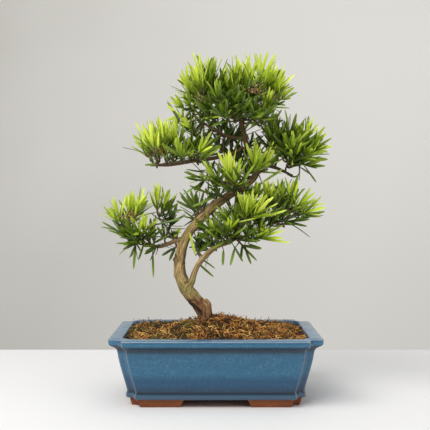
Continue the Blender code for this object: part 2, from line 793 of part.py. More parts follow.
def make_foliage(materials):
    """Every spray as one solid: its stem, a twig to each shoot, and the shoots' leaves."""
    occupied = {"trunk": [bvh_of(bm) for bm in stem_solids(LEAF_GAP)]}
    twigs, shoots = {}, {}
    for name in SPRAYS:
        trees = [tree for node in occupied.values() for tree in node]
        twigs[name], shoots[name] = spray_twigs(name, trees)
        occupied[name] = [bvh_of(tube(path, TWIG_SIDES)) for path in twigs[name]]
    left_out, placed = 0, 0
    for name in SPRAYS:
        others = [tree for node, trees in occupied.items() if node != name for tree in trees]
        solids = [tube(path, TWIG_SIDES) for path in twigs[name]]
        own = list(occupied[name])
        for index, (foot, axis) in enumerate(shoots[name]):
            behind = foot.y > SPRAYS[name]["middle_y"] + 0.2 * SPRAYS[name]["depth"]
            for number in LEAVES_BEHIND if behind else LEAVES_KEPT:
                frame = place_leaf(f"{name} {index} {number}", foot, axis, number, others, own, behind)
                if frame is None:
                    left_out += 1
                    continue
                placed += 1
                solids.append(leaf_solid(*frame))
                own.append(bvh_of(leaf_solid(*frame)))
        occupied[name] = own
        joined("foliage_" + name, solids, materials[name], "MANIFOLD")
    print("leaves placed:", placed, "left out:", left_out)


def main():
    for obj in list(bpy.data.objects):
        bpy.data.objects.remove(obj)
    glaze = finish("blue_glaze", (0.075, 0.185, 0.330), 0.22)
    plastic = finish("black_plastic", (0.02, 0.02, 0.02), 0.6)
    earth = finish("soil", (0.045, 0.030, 0.020), 0.95)
    dry_moss = finish("dry_moss", (0.300, 0.150, 0.040), 0.95)
    bark = finish("bark", (0.260, 0.190, 0.110), 0.85)
    young_leaf = finish("young_leaf", (0.180, 0.400, 0.030), 0.45)
    old_leaf = finish("old_leaf", (0.060, 0.190, 0.030), 0.45)
    make_pot(glaze)
    make_screens(plastic)
    make_soil(earth)
    make_moss(dry_moss)
    joined("trunk", stem_solids(), bark)
    shaded = ("inner_left", "middle_right")
    make_foliage({name: old_leaf if name in shaded else young_leaf for name in SPRAYS})


main()
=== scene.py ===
"""Looks of an S-curved Buddhist pine bonsai in its blue glazed pot."""

import math
import random

import bmesh
import bpy
from mathutils import Matrix, Vector, noise
from mathutils.kdtree import KDTree


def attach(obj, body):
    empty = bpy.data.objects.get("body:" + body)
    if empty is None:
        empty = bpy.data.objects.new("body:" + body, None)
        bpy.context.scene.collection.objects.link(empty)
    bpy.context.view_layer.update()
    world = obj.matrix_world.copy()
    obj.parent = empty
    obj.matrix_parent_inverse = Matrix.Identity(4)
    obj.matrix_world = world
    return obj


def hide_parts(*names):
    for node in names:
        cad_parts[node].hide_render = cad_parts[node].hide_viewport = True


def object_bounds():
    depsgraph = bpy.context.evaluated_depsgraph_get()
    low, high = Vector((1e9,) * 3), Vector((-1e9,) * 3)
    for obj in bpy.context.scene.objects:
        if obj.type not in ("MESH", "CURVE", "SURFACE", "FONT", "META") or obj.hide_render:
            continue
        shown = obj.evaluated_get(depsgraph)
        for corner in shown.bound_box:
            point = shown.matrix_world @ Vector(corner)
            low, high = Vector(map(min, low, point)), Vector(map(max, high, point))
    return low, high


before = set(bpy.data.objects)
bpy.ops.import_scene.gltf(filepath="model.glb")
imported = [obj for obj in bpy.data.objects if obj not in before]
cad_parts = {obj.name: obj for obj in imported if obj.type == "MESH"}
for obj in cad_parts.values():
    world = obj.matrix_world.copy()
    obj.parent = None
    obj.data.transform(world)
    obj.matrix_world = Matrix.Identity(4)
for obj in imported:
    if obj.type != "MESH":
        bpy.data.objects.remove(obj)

SOLID_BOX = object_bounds()


def metres(*rows):
    """Rows of millimetres as rows of metres."""
    return tuple(tuple(value / 1000 for value in row) for row in rows)


def spray_of(branch, middle_y, depth, behind, fill, tufts):
    """A spray's plan in metres, from millimetres."""
    placed = tuple((*metres(tuft[:3])[0], *tuft[3:]) for tuft in tufts)
    middle_y, depth = middle_y / 1000, depth / 1000
    return {"branch": branch, "middle_y": middle_y, "depth": depth, "behind": behind, "fill": fill, "tufts": placed}


# Pot
POT_HEIGHT = 0.078
POT_HALF_LENGTH = 0.120
POT_HALF_WIDTH = 0.086
FOOT_HEIGHT = 0.0090
FLOOR_TOP = 0.016
RIM_WIDTH = 0.0165
END_RIM_WIDTH = 0.0150
WALL_NOTCH = (0.0105, 0.012)
WALL_LEVELS = (
    # height, inset from the rim's half sizes
    (0.0090, 0.0208), (0.0096, 0.0194), (0.0108, 0.0187), (0.0130, 0.0185), (0.0148, 0.0188),
    (0.0160, 0.0195), (0.0175, 0.0197), (0.0200, 0.0192), (0.0250, 0.0181), (0.0300, 0.0168),
    (0.0375, 0.0149), (0.0450, 0.0131), (0.0510, 0.0118), (0.0560, 0.0108),
)
LIP_LEVELS = (
    # height, inset, notch along X, notch along Y
    (0.0600, 0.0102, 0.0107, 0.0122), (0.0640, 0.0094, 0.0112, 0.0126),
    (0.0665, 0.0078, 0.0122, 0.0131), (0.0682, 0.0054, 0.0132, 0.0137),
    (0.0695, 0.0030, 0.0145, 0.0145), (0.0705, 0.0015, 0.0152, 0.0152),
    (0.0717, 0.0007, 0.0158, 0.0158), (0.0735, 0.0003, 0.0162, 0.0162),
    (0.0748, 0.0004, 0.0163, 0.0163), (0.0753, 0.0006, 0.0163, 0.0163),
    (0.0757, 0.0002, 0.0163, 0.0163), (0.0765, 0.0, 0.0163, 0.0163),
    (0.0770, 0.0004, 0.0162, 0.0162), (0.0774, 0.0012, 0.0161, 0.0161),
    (0.0777, 0.0026, 0.0158, 0.0158), (0.0779, 0.0046, 0.0153, 0.0153),
    (POT_HEIGHT, 0.0072, 0.0147, 0.0147),
)
OUTER_LEVELS = (*((*level, *WALL_NOTCH) for level in WALL_LEVELS), *LIP_LEVELS)
INNER_LEVELS = (
    # height, inset from the inside of the rim
    (POT_HEIGHT, -0.0016), (0.0777, -0.0006), (0.0768, 0.0002), (0.0740, 0.0006), (0.060, 0.0010),
    (0.030, 0.0072), (FLOOR_TOP, 0.011),
)
NOTCH_FLAT_SHARE = 0.65
ARRIS_SOFTNESS = 0.0022
ARRIS_STEPS = 4
FOOT_LEVELS = ((0.0, 0.0250), (0.0006, 0.0245), (0.0092, 0.0224))
FOOT_NOTCH = (0.010, 0.0115)
FOOT_RUN = 0.013
FEET_HOLLOW_TOP = 0.012
# The channels between the feet: half widths at their top and at the ground
GAP_ALONG_X = (0.0355, 0.0405)
GAP_ALONG_Y = (0.0250, 0.0290)
GAP_TOP = 0.011
CUT_FOOT = -0.001
DRAIN_X = 0.045
DRAIN_RADIUS = 0.008
WALL_RADIUS = 0.013
# Where the glaze has run thin, and where light is painted: on the lip's bead (thin glaze and a painted highlight), on
# the corner arrises (thin glaze and a painted highlight), a painted reflection on the columns between them, and thin
# glaze over the clay
BEAD_HEIGHT, BEAD_REACH, BEAD_THIN_AND_HIGHLIGHT = 0.0768, 0.0008, 0.90
ARRIS_FLAT, ARRIS_REACH, ARRIS_THIN_AND_HIGHLIGHT = 0.0006, 0.0024, 0.36
COLUMN_MARGINS, COLUMN_REFLECTION = (0.0008, 0.0004), 0.15
GLAZE_EDGE_HEIGHT, GLAZE_EDGE_REACH, GLAZE_EDGE_THINNESS = 0.0098, 0.0006, 0.3

# Ground
MOSS_EDGE = 0.073
MOSS_HEAP = 0.0178
MOSS_REAR_RISE = 0.0015
HEAP_MIDDLE = (0.004, 0.0)
HEAP_REACH = (0.050, 0.046)
MOSS_DEPTH = 0.007
MOSS_BUMP = 0.0026
MOSS_BUMP_SIZE = 0.011
MOSS_LUMP_SIZE = 0.006
MOSS_GRIT = 0.0012
MOSS_GRIT_SIZE = 0.0022
MOSS_SINK = 0.0024
MOSS_WALL_GAP = 0.0012
# Loose strands and the curls on them: how many, how each shape bends and kinks, how long and wide they come, how
# far they roll, and how far they keep from the wall
STRANDS = {
    "count": 6200,
    "bends": ((0.5, 0.10), (-0.7, 0.16), (1.1, -0.08), (0.1, 0.22)),
    "lengths": (0.006, 0.015), "widths": (0.9, 1.2), "roll": 0.8, "wall_gap": 0.002,
}
CURLS = {
    "count": 1300,
    "bends": ((1.3, 0.10), (0.9, -0.24), (-1.2, 0.18), (0.7, 0.36)),
    "lengths": (0.006, 0.012), "widths": (0.9, 1.5), "roll": 0.35, "wall_gap": 0.006,
}
STRAND_RADIUS = 0.042
STRAND_FULL_LENGTH = 0.011
STANDING_SHARE = 0.01
LYING_TILT, STANDING_TILTS = 0.20, (0.4, 1.0)
STRAND_LIFTS = (-0.0008, 0.0012)
STRAND_LAYER = 0.0026
CLUMP_SIZE, PATCH_SIZE = 0.0048, 0.013
END_PAST_WALL = 0.0015
TRUNK_HOLE = (-0.0126, 0.0008, 0.0118)

# Wood, in millimetres: x, y, z and radius along each stem's middle line
TRUNK = metres(
    (-11.5, 2, 58, 10.5), (-12, 2, 74, 11.5), (-12.5, 1, 88, 10.5), (-14, 0, 98, 9),
    (-19.2, -1, 106.5, 8.6), (-25.2, -2, 114, 8.3), (-33.1, -3, 124, 8.1), (-39.3, -4, 135, 7.6),
    (-42.8, -5, 146, 7), (-43.2, -5, 159, 6.7), (-40.9, -5, 174, 6.2), (-36.2, -4, 187, 5.6),
    (-29.5, -3, 197, 5.5), (-22, -1, 205.5, 5.4), (-6.5, 1, 221.5, 5.3), (4.5, 3, 230, 5.2),
    (16, 5, 238.5, 4.9), (28, 7, 245.5, 4.6), (40, 9, 253.5, 4.3), (49, 9, 265, 4.1),
    (49, 8, 278.5, 3.8), (42.5, 6, 288.5, 3.6), (36.8, 4, 299, 3.4), (33.5, 2, 313, 3.1),
    (29.5, 1, 329, 2.7),
)
BRANCHES = {
    "low_right": metres(
        (-34.5, -4, 126.5, 5), (-29, -6, 135, 4), (-25.2, -9, 146.5, 3.4), (-20.2, -12, 157, 3.3),
        (-11.8, -15, 167, 3.3), (-3, -18, 175, 3.1), (4, -20, 179, 2.6), (12.5, -21, 181.5, 2.3),
        (20, -21, 185, 2),
    ),
    "low_left": metres(
        (-37.5, -4, 186, 3.6), (-46.5, -4, 184.5, 2.8), (-54.5, -4, 181, 2.6), (-67, -4, 177, 2.4),
        (-78, -4, 178, 2.2), (-86, -4, 181.5, 1.9),
    ),
    "middle_left": metres(
        (33, 4, 296, 2.9), (24, 2, 289.5, 2.5), (11, 0, 285, 2.4), (-6, -2, 281.8, 2.3),
        (-24, -3, 279.6, 2.5), (-40, -3, 277, 2.6), (-56, -4, 274.5, 2.4), (-68, -5, 273.8, 1.7),
    ),
    "upper_left": metres(
        (33, 3, 306, 2.6), (20, 0, 307, 2), (7.5, -2, 311, 1.8), (-3, -3, 316.5, 1.7),
        (-13, -3, 323, 1.5),
    ),
    "middle_right": metres(
        (49, 9, 268, 3), (56, 10, 272.5, 2.5), (64, 10, 273.5, 2.2), (74.5, 9, 270.5, 2),
        (84, 8, 266, 1.7),
    ),
    "centre": metres(
        (28, 7, 245.5, 3), (26.5, -1, 248.5, 2), (24, -8, 251, 1.8),
    ),
    "inner_left": metres(
        (-12, 1, 216, 2.8), (-16.5, 1, 220, 1.8), (-19.5, 1, 222.5, 1.5),
    ),
}
HEALED_COLLAR = metres(
    (-14.8, -1.5, 111.6, 4.2), (-11.2, -2, 107.4, 5.6), (-10.4, -1.8, 101, 5.8), (-10.5, -1, 92, 7.2),
)
# Creases low on the trunk: how wide and deep they are, and their line in millimetres
CREASES = (
    (0.0042, 0.0012, metres((-32, -5, 113), (-26.8, -8, 106.5), (-20.8, -9.5, 101), (-18.2, -10, 94.5))),
    (0.0013, 0.0007, metres((-30, -9, 113.5), (-24, -11, 113), (-17.5, -11, 110.8))),
    (0.0012, 0.0006, metres((-15, -10, 107.5), (-16.5, -10, 101), (-15, -11, 95))),
)
CREASES_TOP = 0.118
BROKEN_STUB = metres((-48.2, -7, 161.4, 2.8), (-49.4, -7.2, 162.2, 2.3), (-50.4, -7.5, 163, 1.7))
ROOTS = 4
ROOT_TOP = 0.080
ROOT_LENGTH = 0.052
ROOT_DROP = 0.030
ROOT_RADII = (0.0050, 0.0034, 0.0022, 0.0012)
BARK_VOXEL = 0.00062
# Relief of the bark, as shares of the stem's radius, and the sizes of its patterns
BARK_LINES, BARK_LINE_SIZE = 0.040, 0.0012
BARK_LUMPS, BARK_LUMP_SIZE = 0.10, 0.009
BARK_KNOBS, BARK_KNOB_SIZE = 0.16, 0.0042
# Height from which the trunk's +X side gets painted shade
SHADED_SIDE_FROM = 0.124
SLIM_RADIUS = 0.0037
LONGEST_STEP = 0.02

# Foliage, in millimetres: each spray's tufts, as x, y and z of the tuft's foot, its lean in degrees towards +X, how
# much of it is new growth, and how tall it looks beside a full tuft. "behind" is how many of them, from the first,
# have a like tuft on the spray's far side, and "fill" how many shaded tufts stand between them.
SPRAYS = {
    "crown": spray_of(
        branch="trunk", middle_y=4, depth=50, behind=9, fill=28,
        tufts=(
            (-30, -4, 355.5, -15, 0.95, 0.60), (-15.5, -10, 360.5, -7, 0.90, 0.90),
            (-6, -6, 357, -1, 0.70, 1.00), (15, -10, 354.5, -7, 0.60, 0.75),
            (21.5, -2, 362, 2, 0.75, 0.80), (31.5, -8, 365, 6, 0.85, 0.85),
            (49.5, -12, 364.5, 11, 0.95, 0.90), (61.5, -6, 359, 17, 0.90, 0.70),
            (69, -4, 355, 22, 0.85, 0.60), (74, -8, 349, 45, 0.80, 0.40),
            (-18, -22, 357, -14, 0.80, 0.65), (40, -22, 363, 5, 0.65, 0.70),
            (3, -30, 342, -7, 0.22, 0.65), (17, -34, 335.5, 25, 0.12, 0.55),
            (23.5, -38, 325, 37, 0.10, 0.55), (41.5, -36, 325, 0, 0.22, 0.50),
            (52, -30, 326, 15, 0.15, 0.45), (61.5, -16, 340.5, 81, 0.15, 0.40),
            (-3, -26, 333.5, -37, 0.10, 0.45), (13, -34, 323.5, -28, 0.10, 0.45),
            (58, -26, 336.5, 17, 0.45, 0.45),
        ),
    ),
    "upper_left": spray_of(
        branch="upper_left", middle_y=2, depth=20, behind=1, fill=2,
        tufts=(
            (-36, -6, 339.5, -46, 0.85, 0.41), (-27, -12, 313.5, -42, 0.95, 0.41),
            (-30, -2, 341.5, -13, 0.60, 0.30),
        ),
    ),
    "under_crown": spray_of(
        branch="upper_left", middle_y=2, depth=22, behind=0, fill=12,
        tufts=(
            (-15, 4, 337.5, -24, 0.20, 0.45), (-6, 10, 322.5, -27, 0.15, 0.40),
            (6, 12, 312.5, -32, 0.10, 0.40), (16, -8, 331, -39, 0.25, 0.35),
            (54.5, 10, 329, 27, 0.25, 0.40), (60.5, 6, 319.5, 34, 0.20, 0.40),
            (-24, 8, 312, -32, 0.25, 0.35), (6, 12, 292.5, -22, 0.10, 0.45),
            (19, 16, 283.5, -7, 0.10, 0.45), (39, -8, 328.5, 0, 0.25, 0.45),
            (-15, 14, 296.5, -16, 0.15, 0.40), (20, 12, 303, -5, 0.10, 0.40),
            (42, 14, 296, 12, 0.10, 0.40),
        ),
    ),
    "middle_left": spray_of(
        branch="middle_left", middle_y=0, depth=30, behind=3, fill=8,
        tufts=(
            (-76.5, -6, 287, -20, 0.95, 0.75), (-72.5, -14, 286, -4, 0.98, 0.75),
            (-66, -4, 289.5, -4, 0.75, 0.80), (-58.5, -12, 293, 0, 0.95, 0.75),
            (-48, -6, 295, -1, 0.85, 0.65), (-40, -24, 279.5, -22, 0.50, 0.50),
            (-22, -18, 282, 22, 0.65, 0.50), (-28.5, -4, 288, -4, 0.30, 0.45),
            (-38.5, -14, 281.5, 20, 0.45, 0.45), (-11.5, 2, 282.5, 21, 0.20, 0.40),
        ),
    ),
    "middle_right": spray_of(
        branch="middle_right", middle_y=8, depth=30, behind=5, fill=10,
        tufts=(
            (70.5, -4, 295.5, -12, 0.25, 0.70), (77.5, -2, 300.5, -14, 0.20, 0.60),
            (86, -4, 298, 11, 0.35, 0.80), (104, -4, 300, 14, 0.55, 0.55),
            (99.5, -8, 295, 25, 0.60, 0.70), (107.5, -6, 287.5, 41, 0.65, 0.75),
            (80.5, -18, 288, 0, 0.40, 0.45), (89, -24, 285, 0, 0.60, 0.50),
            (104.5, -8, 281, 63, 0.45, 0.60), (100, -6, 274.5, 96, 0.12, 0.50),
            (104.5, -20, 284, 17, 0.60, 0.25), (80, -10, 279.5, -23, 0.15, 0.40),
            (88.5, -14, 274, 34, 0.20, 0.40), (85.5, -4, 277, 20, 0.12, 0.40),
            (73.5, -2, 285, -30, 0.10, 0.35),
        ),
    ),
    "centre": spray_of(
        branch="centre", middle_y=-4, depth=24, behind=1, fill=8,
        tufts=(
            (18, -22, 251.5, -4, 0.95, 0.80), (45.5, -18, 263, 1, 1.00, 0.80),
            (56, -14, 268, 24, 0.92, 0.65), (5.5, -18, 253, -50, 0.45, 0.65),
            (30.5, -24, 249, 17, 0.35, 0.45), (-8.5, -10, 255.5, -79, 0.18, 0.55),
            (-12.5, -8, 257, -138, 0.12, 0.35), (3, -10, 249, -27, 0.30, 0.40),
            (21, -16, 244, 23, 0.30, 0.40), (7, 8, 238, -48, 0.10, 0.35),
            (0.5, 10, 232.5, -42, 0.12, 0.30), (29.5, 12, 277.5, -14, 0.05, 0.45),
            (24, 14, 267, -15, 0.05, 0.40), (36, 12, 260.5, 18, 0.10, 0.40),
            (41.5, -14, 244, -4, 0.30, 0.35), (-6, 6, 266.5, -32, 0.12, 0.40),
            (50.5, 12, 280, 16, 0.15, 0.40), (5, -2, 256, -20, 0.12, 0.40),
        ),
    ),
    "low_right": spray_of(
        branch="low_right", middle_y=-6, depth=30, behind=5, fill=9,
        tufts=(
            (34.5, -28, 208.5, -5, 0.85, 0.75), (38.5, -30, 211.5, 16, 0.85, 0.70),
            (67.5, -14, 226.5, -5, 0.70, 0.55), (85, -12, 225.5, 9, 0.60, 0.70),
            (93, -10, 220, 39, 0.60, 0.50), (40.5, -34, 210.5, 41, 0.95, 0.70),
            (75.5, -10, 224.5, 6, 0.30, 0.65), (99.5, -12, 214.5, 66, 0.60, 0.50),
            (15, -36, 195.5, -3, 0.85, 0.35), (6.5, -26, 184.5, -21, 0.45, 0.65),
            (3.5, -14, 188.5, -54, 0.12, 0.50), (79, -10, 207, 85, 0.12, 0.55),
            (48.5, -24, 186.5, 64, 0.60, 0.55), (52, -22, 189, 10, 0.50, 0.40),
            (39, -20, 185.5, -7, 0.12, 0.40), (22.5, 4, 211, -8, 0.15, 0.50),
            (79.5, -4, 211, 28, 0.25, 0.40), (30.5, -22, 180, 126, 0.10, 0.40),
            (46, -8, 231, 6, 0.50, 0.45), (58, -14, 231, 3, 0.60, 0.40),
            (12, -4, 203.5, -28, 0.18, 0.45), (28.5, -10, 203.5, -5, 0.25, 0.45),
            (-3, -12, 193, -21, 0.35, 0.50), (18.5, -24, 186.5, -32, 0.25, 0.40),
            (65.5, -10, 203.5, -8, 0.15, 0.30), (33.5, 4, 228, 7, 0.20, 0.40),
            (21.5, -12, 199, 5, 0.30, 0.40), (16, -16, 186, 60, 0.12, 0.40),
            (33, -14, 188.5, 40, 0.15, 0.40), (28, -28, 185, 65, 0.15, 0.35),
            (-11, -4, 194, -55, 0.12, 0.40),
        ),
    ),
    "low_left": spray_of(
        branch="low_left", middle_y=-4, depth=28, behind=1, fill=5,
        tufts=(
            (-111, -12, 204.5, -13, 0.95, 0.60), (-102, -14, 208, 10, 0.90, 0.70),
            (-69, -14, 218.5, 3, 0.92, 0.65), (-96.5, -10, 210, 26, 0.90, 0.75),
            (-67, -10, 211.5, 26, 0.22, 0.70), (-56.5, -4, 197.5, 17, 0.10, 0.60),
            (-84, -22, 193.5, 10, 0.90, 0.50), (-88, -16, 184, -18, 0.15, 0.45),
            (-78, -10, 185.5, 13, 0.12, 0.45), (-61, -2, 183.5, -6, 0.12, 0.35),
            (-96.5, -8, 187, -63, 0.15, 0.50), (-93.5, -12, 181.5, -163, 0.15, 0.35),
            (-47, -2, 176.5, -118, 0.08, 0.35), (-68, -6, 179, -131, 0.10, 0.35),
            (-51, 4, 183, -14, 0.10, 0.30), (-45.5, -10, 191.5, 25, 0.95, 0.20),
        ),
    ),
    "inner_left": spray_of(
        branch="inner_left", middle_y=4, depth=20, behind=0, fill=1,
        tufts=(
            (-21, 10, 217.5, -15, 0.35, 0.55), (-24, 8, 209.5, -77, 0.10, 0.30),
            (-16, 12, 216.5, 3, 0.15, 0.40),
        ),
    ),
    "fork": spray_of(
        branch="low_right", middle_y=0, depth=20, behind=0, fill=0,
        tufts=(
            (-3.5, 1, 174.5, -58, 0.12, 0.50), (0, 4, 176.5, -39, 0.15, 0.45),
            (-21, 4, 168, 7, 0.45, 0.40), (-4.5, 6, 170.5, -81, 0.10, 0.45),
            (-24, 2, 176, 4, 0.15, 0.35),
        ),
    ),
}
# Single leaves that stand out of the sprays: where each starts and ends, and how much it is new growth
LONE_LEAVES = (
    ((-15.5, -30, 326.5), (17.5, -34, 329), 0.95), ((53.5, -6, 327.5), (80.5, -12, 329), 0.62),
    ((98, -12, 219.5), (129.5, -14, 231), 0.85), ((93, -10, 209), (121.5, -16, 214.5), 0.30),
    ((52.5, -26, 187), (87, -34, 182.5), 0.70), ((37.5, -24, 181.5), (53.5, -30, 174), 0.20),
    ((20, -26, 180), (32, -30, 160.5), 0.15), ((22, -22, 176), (16.5, -30, 155), 0.30),
    ((29.5, -22, 179), (48, -32, 163), 0.15), ((9, -18, 173.5), (8, -20, 155.5), 0.35),
    ((-21, -4, 157), (-3.5, 4, 139.5), 0.20), ((-19, -2, 163), (1, 8, 150), 0.10),
    ((-24, -12, 166.5), (-31.5, -14, 195), 0.80), ((-23.5, -4, 167), (-4.5, 4, 184.5), 0.20),
    ((-108.5, -10, 191), (-133, -18, 207.5), 0.15), ((-115.5, -12, 205.5), (-133, -18, 226), 0.45),
    ((-98, -8, 184), (-114, -16, 168), 0.30), ((-94.5, -10, 181), (-97.5, -14, 150.5), 0.25),
    ((-75, -8, 170), (-73.5, -10, 140), 0.35), ((-85, -10, 181.5), (-90.5, -16, 160), 0.20),
    ((-25, -10, 222), (-45, -16, 241), 0.15), ((-72, -12, 275), (-84, -16, 272), 0.15),
    ((-18.5, -20, 287), (-9.5, -24, 304), 0.95), ((-22, -18, 285), (-3.5, -22, 305), 0.55),
    ((50, -10, 265.5), (79, -14, 263.5), 0.65), ((54.5, -12, 252.5), (79.5, -12, 269), 0.60),
    ((23, -34, 206), (53, -38, 212), 0.66), ((48.5, -34, 211.5), (82.5, -40, 218.5), 0.66),
    ((-10.5, -14, 265), (-35.5, -18, 266), 0.20), ((-8, -16, 260.5), (-37.5, -20, 257.5), 0.40),
    ((100, -4, 276.5), (120.5, -8, 269.5), 0.20), ((100, -4, 271.5), (113, -8, 263.5), 0.15),
    ((90.5, -26, 296), (89, -32, 312.5), 0.85), ((96, -26, 301), (107, -30, 313), 0.60),
)
SHOOT_LENGTH = 0.015
FULL_TUFT = 0.72
LEAST_SHARE_ACROSS = 0.7
# Tufts on the far side: how far they stand beside, lower and turned, and how deep in the spray
FAR_SHIFT, FAR_DROP, FAR_TURN, FAR_DEPTH = 0.006, (0.002, 0.010), 10, (0.25, 0.80)
HANGING_LEAN = 70
# Side shoots: beside which tufts, how far off, lower and tilted, and how young and large beside them
SIDE_SHOOT_FROM = 0.6
SIDE_REACH, SIDE_DROP, SIDE_TILT, SIDE_YOUTH, SIDE_SIZE = (0.003, 0.007), 0.006, (15, 45), (0.5, 0.9), 0.85
# Shaded shoots: how far they drop, also below the lowest tuft, and how young and large they are
SHADED_DROP, SHADED_BELOW, SHADED_YOUTH, SHADED_SIZE = (0.002, 0.012), 0.003, 0.3, 0.8
STEM_START = 0.003
STEM_OVERLAP = 0.002
TWIG_BASE = 0.0016
TWIG_END = 0.0011
TWIG_TIP = 0.0008
GOLDEN_TURN = math.radians(137.5)
LEAF_COUNTS = {"tuft": 12, "side": 7, "shaded": 8, "hanging": 8}
LEAF_LENGTH, LENGTH_SPREAD = 0.0435, (0.80, 1.12)
LEAF_WIDTH, WIDTH_SPREAD, LONE_WIDTH_SPREAD = 0.0040, (0.82, 1.15), (0.60, 0.85)
# How wide leaves open at a shoot's foot and at its top, in degrees, and how much less on new growth
FOOT_OPENING, TOP_OPENING = (60, 20), (15, 7)
OPENING_SPREAD, TURN_SPREAD, ROLL_SPREAD = 9, 0.3, 40
# Leaves that point down are rare, except on hanging tufts
DOWNWARD, DOWNWARD_DROPPED = -0.12, 0.8
# A leaf's outline, as how far along it is and how wide beside its full width
LEAF_OUTLINE = ((0.0, 0.26), (0.08, 0.52), (0.22, 0.86), (0.46, 1.0), (0.73, 0.95), (0.91, 0.62))
# How each leaf shape bends and twists
LEAF_BENDS = ((0.2, 0.3), (0.8, -0.4), (-0.6, 0.5), (1.5, 0.2), (-1.2, -0.3), (0.1, -0.6))
LEAF_TRIES = 6
BOX_MARGIN = 0.0008
YOUNG_FROM = 0.42
BUDS = metres(
    (42.7, -40, 357.9), (64.1, -34, 350.2), (-98.7, -30, 214.1), (-63.2, -22, 290.5),
    (-14.2, -20, 351.5), (56, -6, 270.6),
)
BUDS_IN_CLUSTER = 44
BUD_SIZES, BUD_SPREAD, BUD_STRETCH = (0.0006, 0.0013), (0.0042, 0.0022, 0.0026), 1.6
# Where the wood shows between the leaves: x, z and how far round it stays bare
BARE_SPOTS = ((0.0480, 0.2680, 0.0080), (0.0410, 0.2530, 0.0080), (0.0370, 0.3000, 0.0060))
BARE_FRONT = 0.006
LOOPED_TWIG = metres(
    (80, 8, 268.5, 1.5), (85, 7, 265, 1.2), (90.5, 6, 261, 1), (96.5, 5, 260.5, 0.9),
    (100.5, 4.5, 265, 0.8), (100, 4, 274, 0.8),
)

# Tones of the leaves: dark, middle, bright and tip, and the skin's roughness
LEAF_TONES = {
    "young": ((0.120, 0.215, 0.012), (0.500, 0.690, 0.030), (0.830, 0.930, 0.110), (0.840, 0.920, 0.160), 0.38),
    "old": ((0.020, 0.040, 0.006), (0.120, 0.212, 0.018), (0.370, 0.540, 0.038), (0.255, 0.390, 0.028), 0.36),
}

# Camera: the photograph's width and focal length in pixels, and how far its middle lies off the level view
SENSOR_WIDTH = 36.0
PHOTO_PIXELS = 430
FOCAL_PIXELS = 786
MIDDLE_RIGHT_PIXELS = 0.85
MIDDLE_DOWN_PIXELS = 8.0
CAMERA_PLACE = (0.0, -0.940, 0.224)


def loose_bmesh(build):
    """The object-less bmesh that build makes, with its faces turned out."""
    bm = bmesh.new()
    build(bm)
    bmesh.ops.recalc_face_normals(bm, faces=bm.faces)
    return bm


def mesh_from(name, bm):
    mesh = bpy.data.meshes.new(name)
    bm.to_mesh(mesh)
    bm.free()
    return mesh


def clamped(number):
    return min(1.0, max(0.0, number))


def object_of(name, mesh):
    thing = bpy.data.objects.new(name, mesh)
    bpy.context.collection.objects.link(thing)
    return thing


def piece_from(name, bm, material, sharp_degrees=50):
    """A piece of the part from a bmesh: shaded smooth, finished, and riding with the whole pot."""
    mesh = mesh_from(name, bm)
    mesh.shade_smooth()
    mesh.set_sharp_from_angle(angle=math.radians(sharp_degrees))
    mesh.materials.append(material)
    piece = object_of(name, mesh)
    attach(piece, "root")
    return piece


def carry(mesh, name, numbers, kind="FLOAT"):
    """Gives a mesh an attribute with a number, or a vector, on each point."""
    attribute = mesh.attributes.new(name, kind, "POINT")
    attribute.data.foreach_set("value" if kind == "FLOAT" else "vector", numbers)


def extrude_through(bm, rings, tip=None):
    """Extrudes a face from ring to ring, each a list of points, and on to a tip if there is one."""
    face = bm.faces.new([bm.verts.new(point) for point in rings[0]])
    ends = [*rings[1:]] if tip is None else [*rings[1:], [tip] * len(rings[0])]
    for number, ring in enumerate(ends):
        made = bmesh.ops.extrude_face_region(bm, geom=[face])["geom"]
        if number > 0:
            bmesh.ops.delete(bm, geom=[face], context="FACES_ONLY")
        face = next(item for item in made if isinstance(item, bmesh.types.BMFace))
        for vert, point in zip(face.verts, ring):
            vert.co = point
    if tip is not None:
        bmesh.ops.pointmerge(bm, verts=list(face.verts), merge_co=tip)


def smooth_path(points, steps):
    """A Catmull-Rom curve through rows of numbers, with this many steps from row to row."""
    rows = [Vector(row) for row in points]
    rows = [2 * rows[0] - rows[1], *rows, 2 * rows[-1] - rows[-2]]
    path = []
    for a, b, c, d in zip(rows, rows[1:], rows[2:], rows[3:]):
        for step in range(steps):
            t = step / steps
            bow, swing = (2 * a - 5 * b + 4 * c - d) * t**2, (3 * b - a - 3 * c + d) * t**3
            path.append(0.5 * (2 * b + (c - a) * t + bow + swing))
    return [*path, rows[-2]]


def add_tube(bm, path, sides):
    """A tube along rows of x, y, z and radius."""
    middles = [Vector(row[:3]) for row in path]
    last = len(middles) - 1
    tangents = [(middles[min(i + 1, last)] - middles[max(i - 1, 0)]).normalized() for i in range(last + 1)]
    across = tangents[0].orthogonal().normalized()
    angles = [math.tau * k / sides for k in range(sides)]
    rings = []
    for middle, tangent, row in zip(middles, tangents, path):
        across = (across - tangent * across.dot(tangent)).normalized()
        beside = tangent.cross(across)
        rings.append([middle + (across * math.cos(a) + beside * math.sin(a)) * row[3] for a in angles])
    extrude_through(bm, rings)


def applied(piece):
    """Applies a piece's modifiers."""
    graph = bpy.context.evaluated_depsgraph_get()
    graph.update()
    mesh = bpy.data.meshes.new_from_object(piece.evaluated_get(graph))
    mesh.name = piece.name
    piece.modifiers.clear()
    piece.data = mesh
    return piece


def cut(piece, build):
    """Cuts what build makes out of a piece."""
    cutter = object_of("cutter", mesh_from("cutter", loose_bmesh(build)))
    difference = piece.modifiers.new("cut", "BOOLEAN")
    difference.operation = "DIFFERENCE"
    difference.object = cutter
    applied(piece)
    bpy.data.objects.remove(cutter)


# Finishes


def nodes_of(name, roughness, **sockets):
    """A new material, its node tree and its Principled shader, whose plain sockets are set here."""
    material = bpy.data.materials.new(name)
    material.use_nodes = True
    tree = material.node_tree
    shader = tree.nodes["Principled BSDF"]
    shader.inputs["Roughness"].default_value = roughness
    for socket, value in sockets.items():
        shader.inputs[socket.replace("_", " ")].default_value = value
    return material, tree, shader


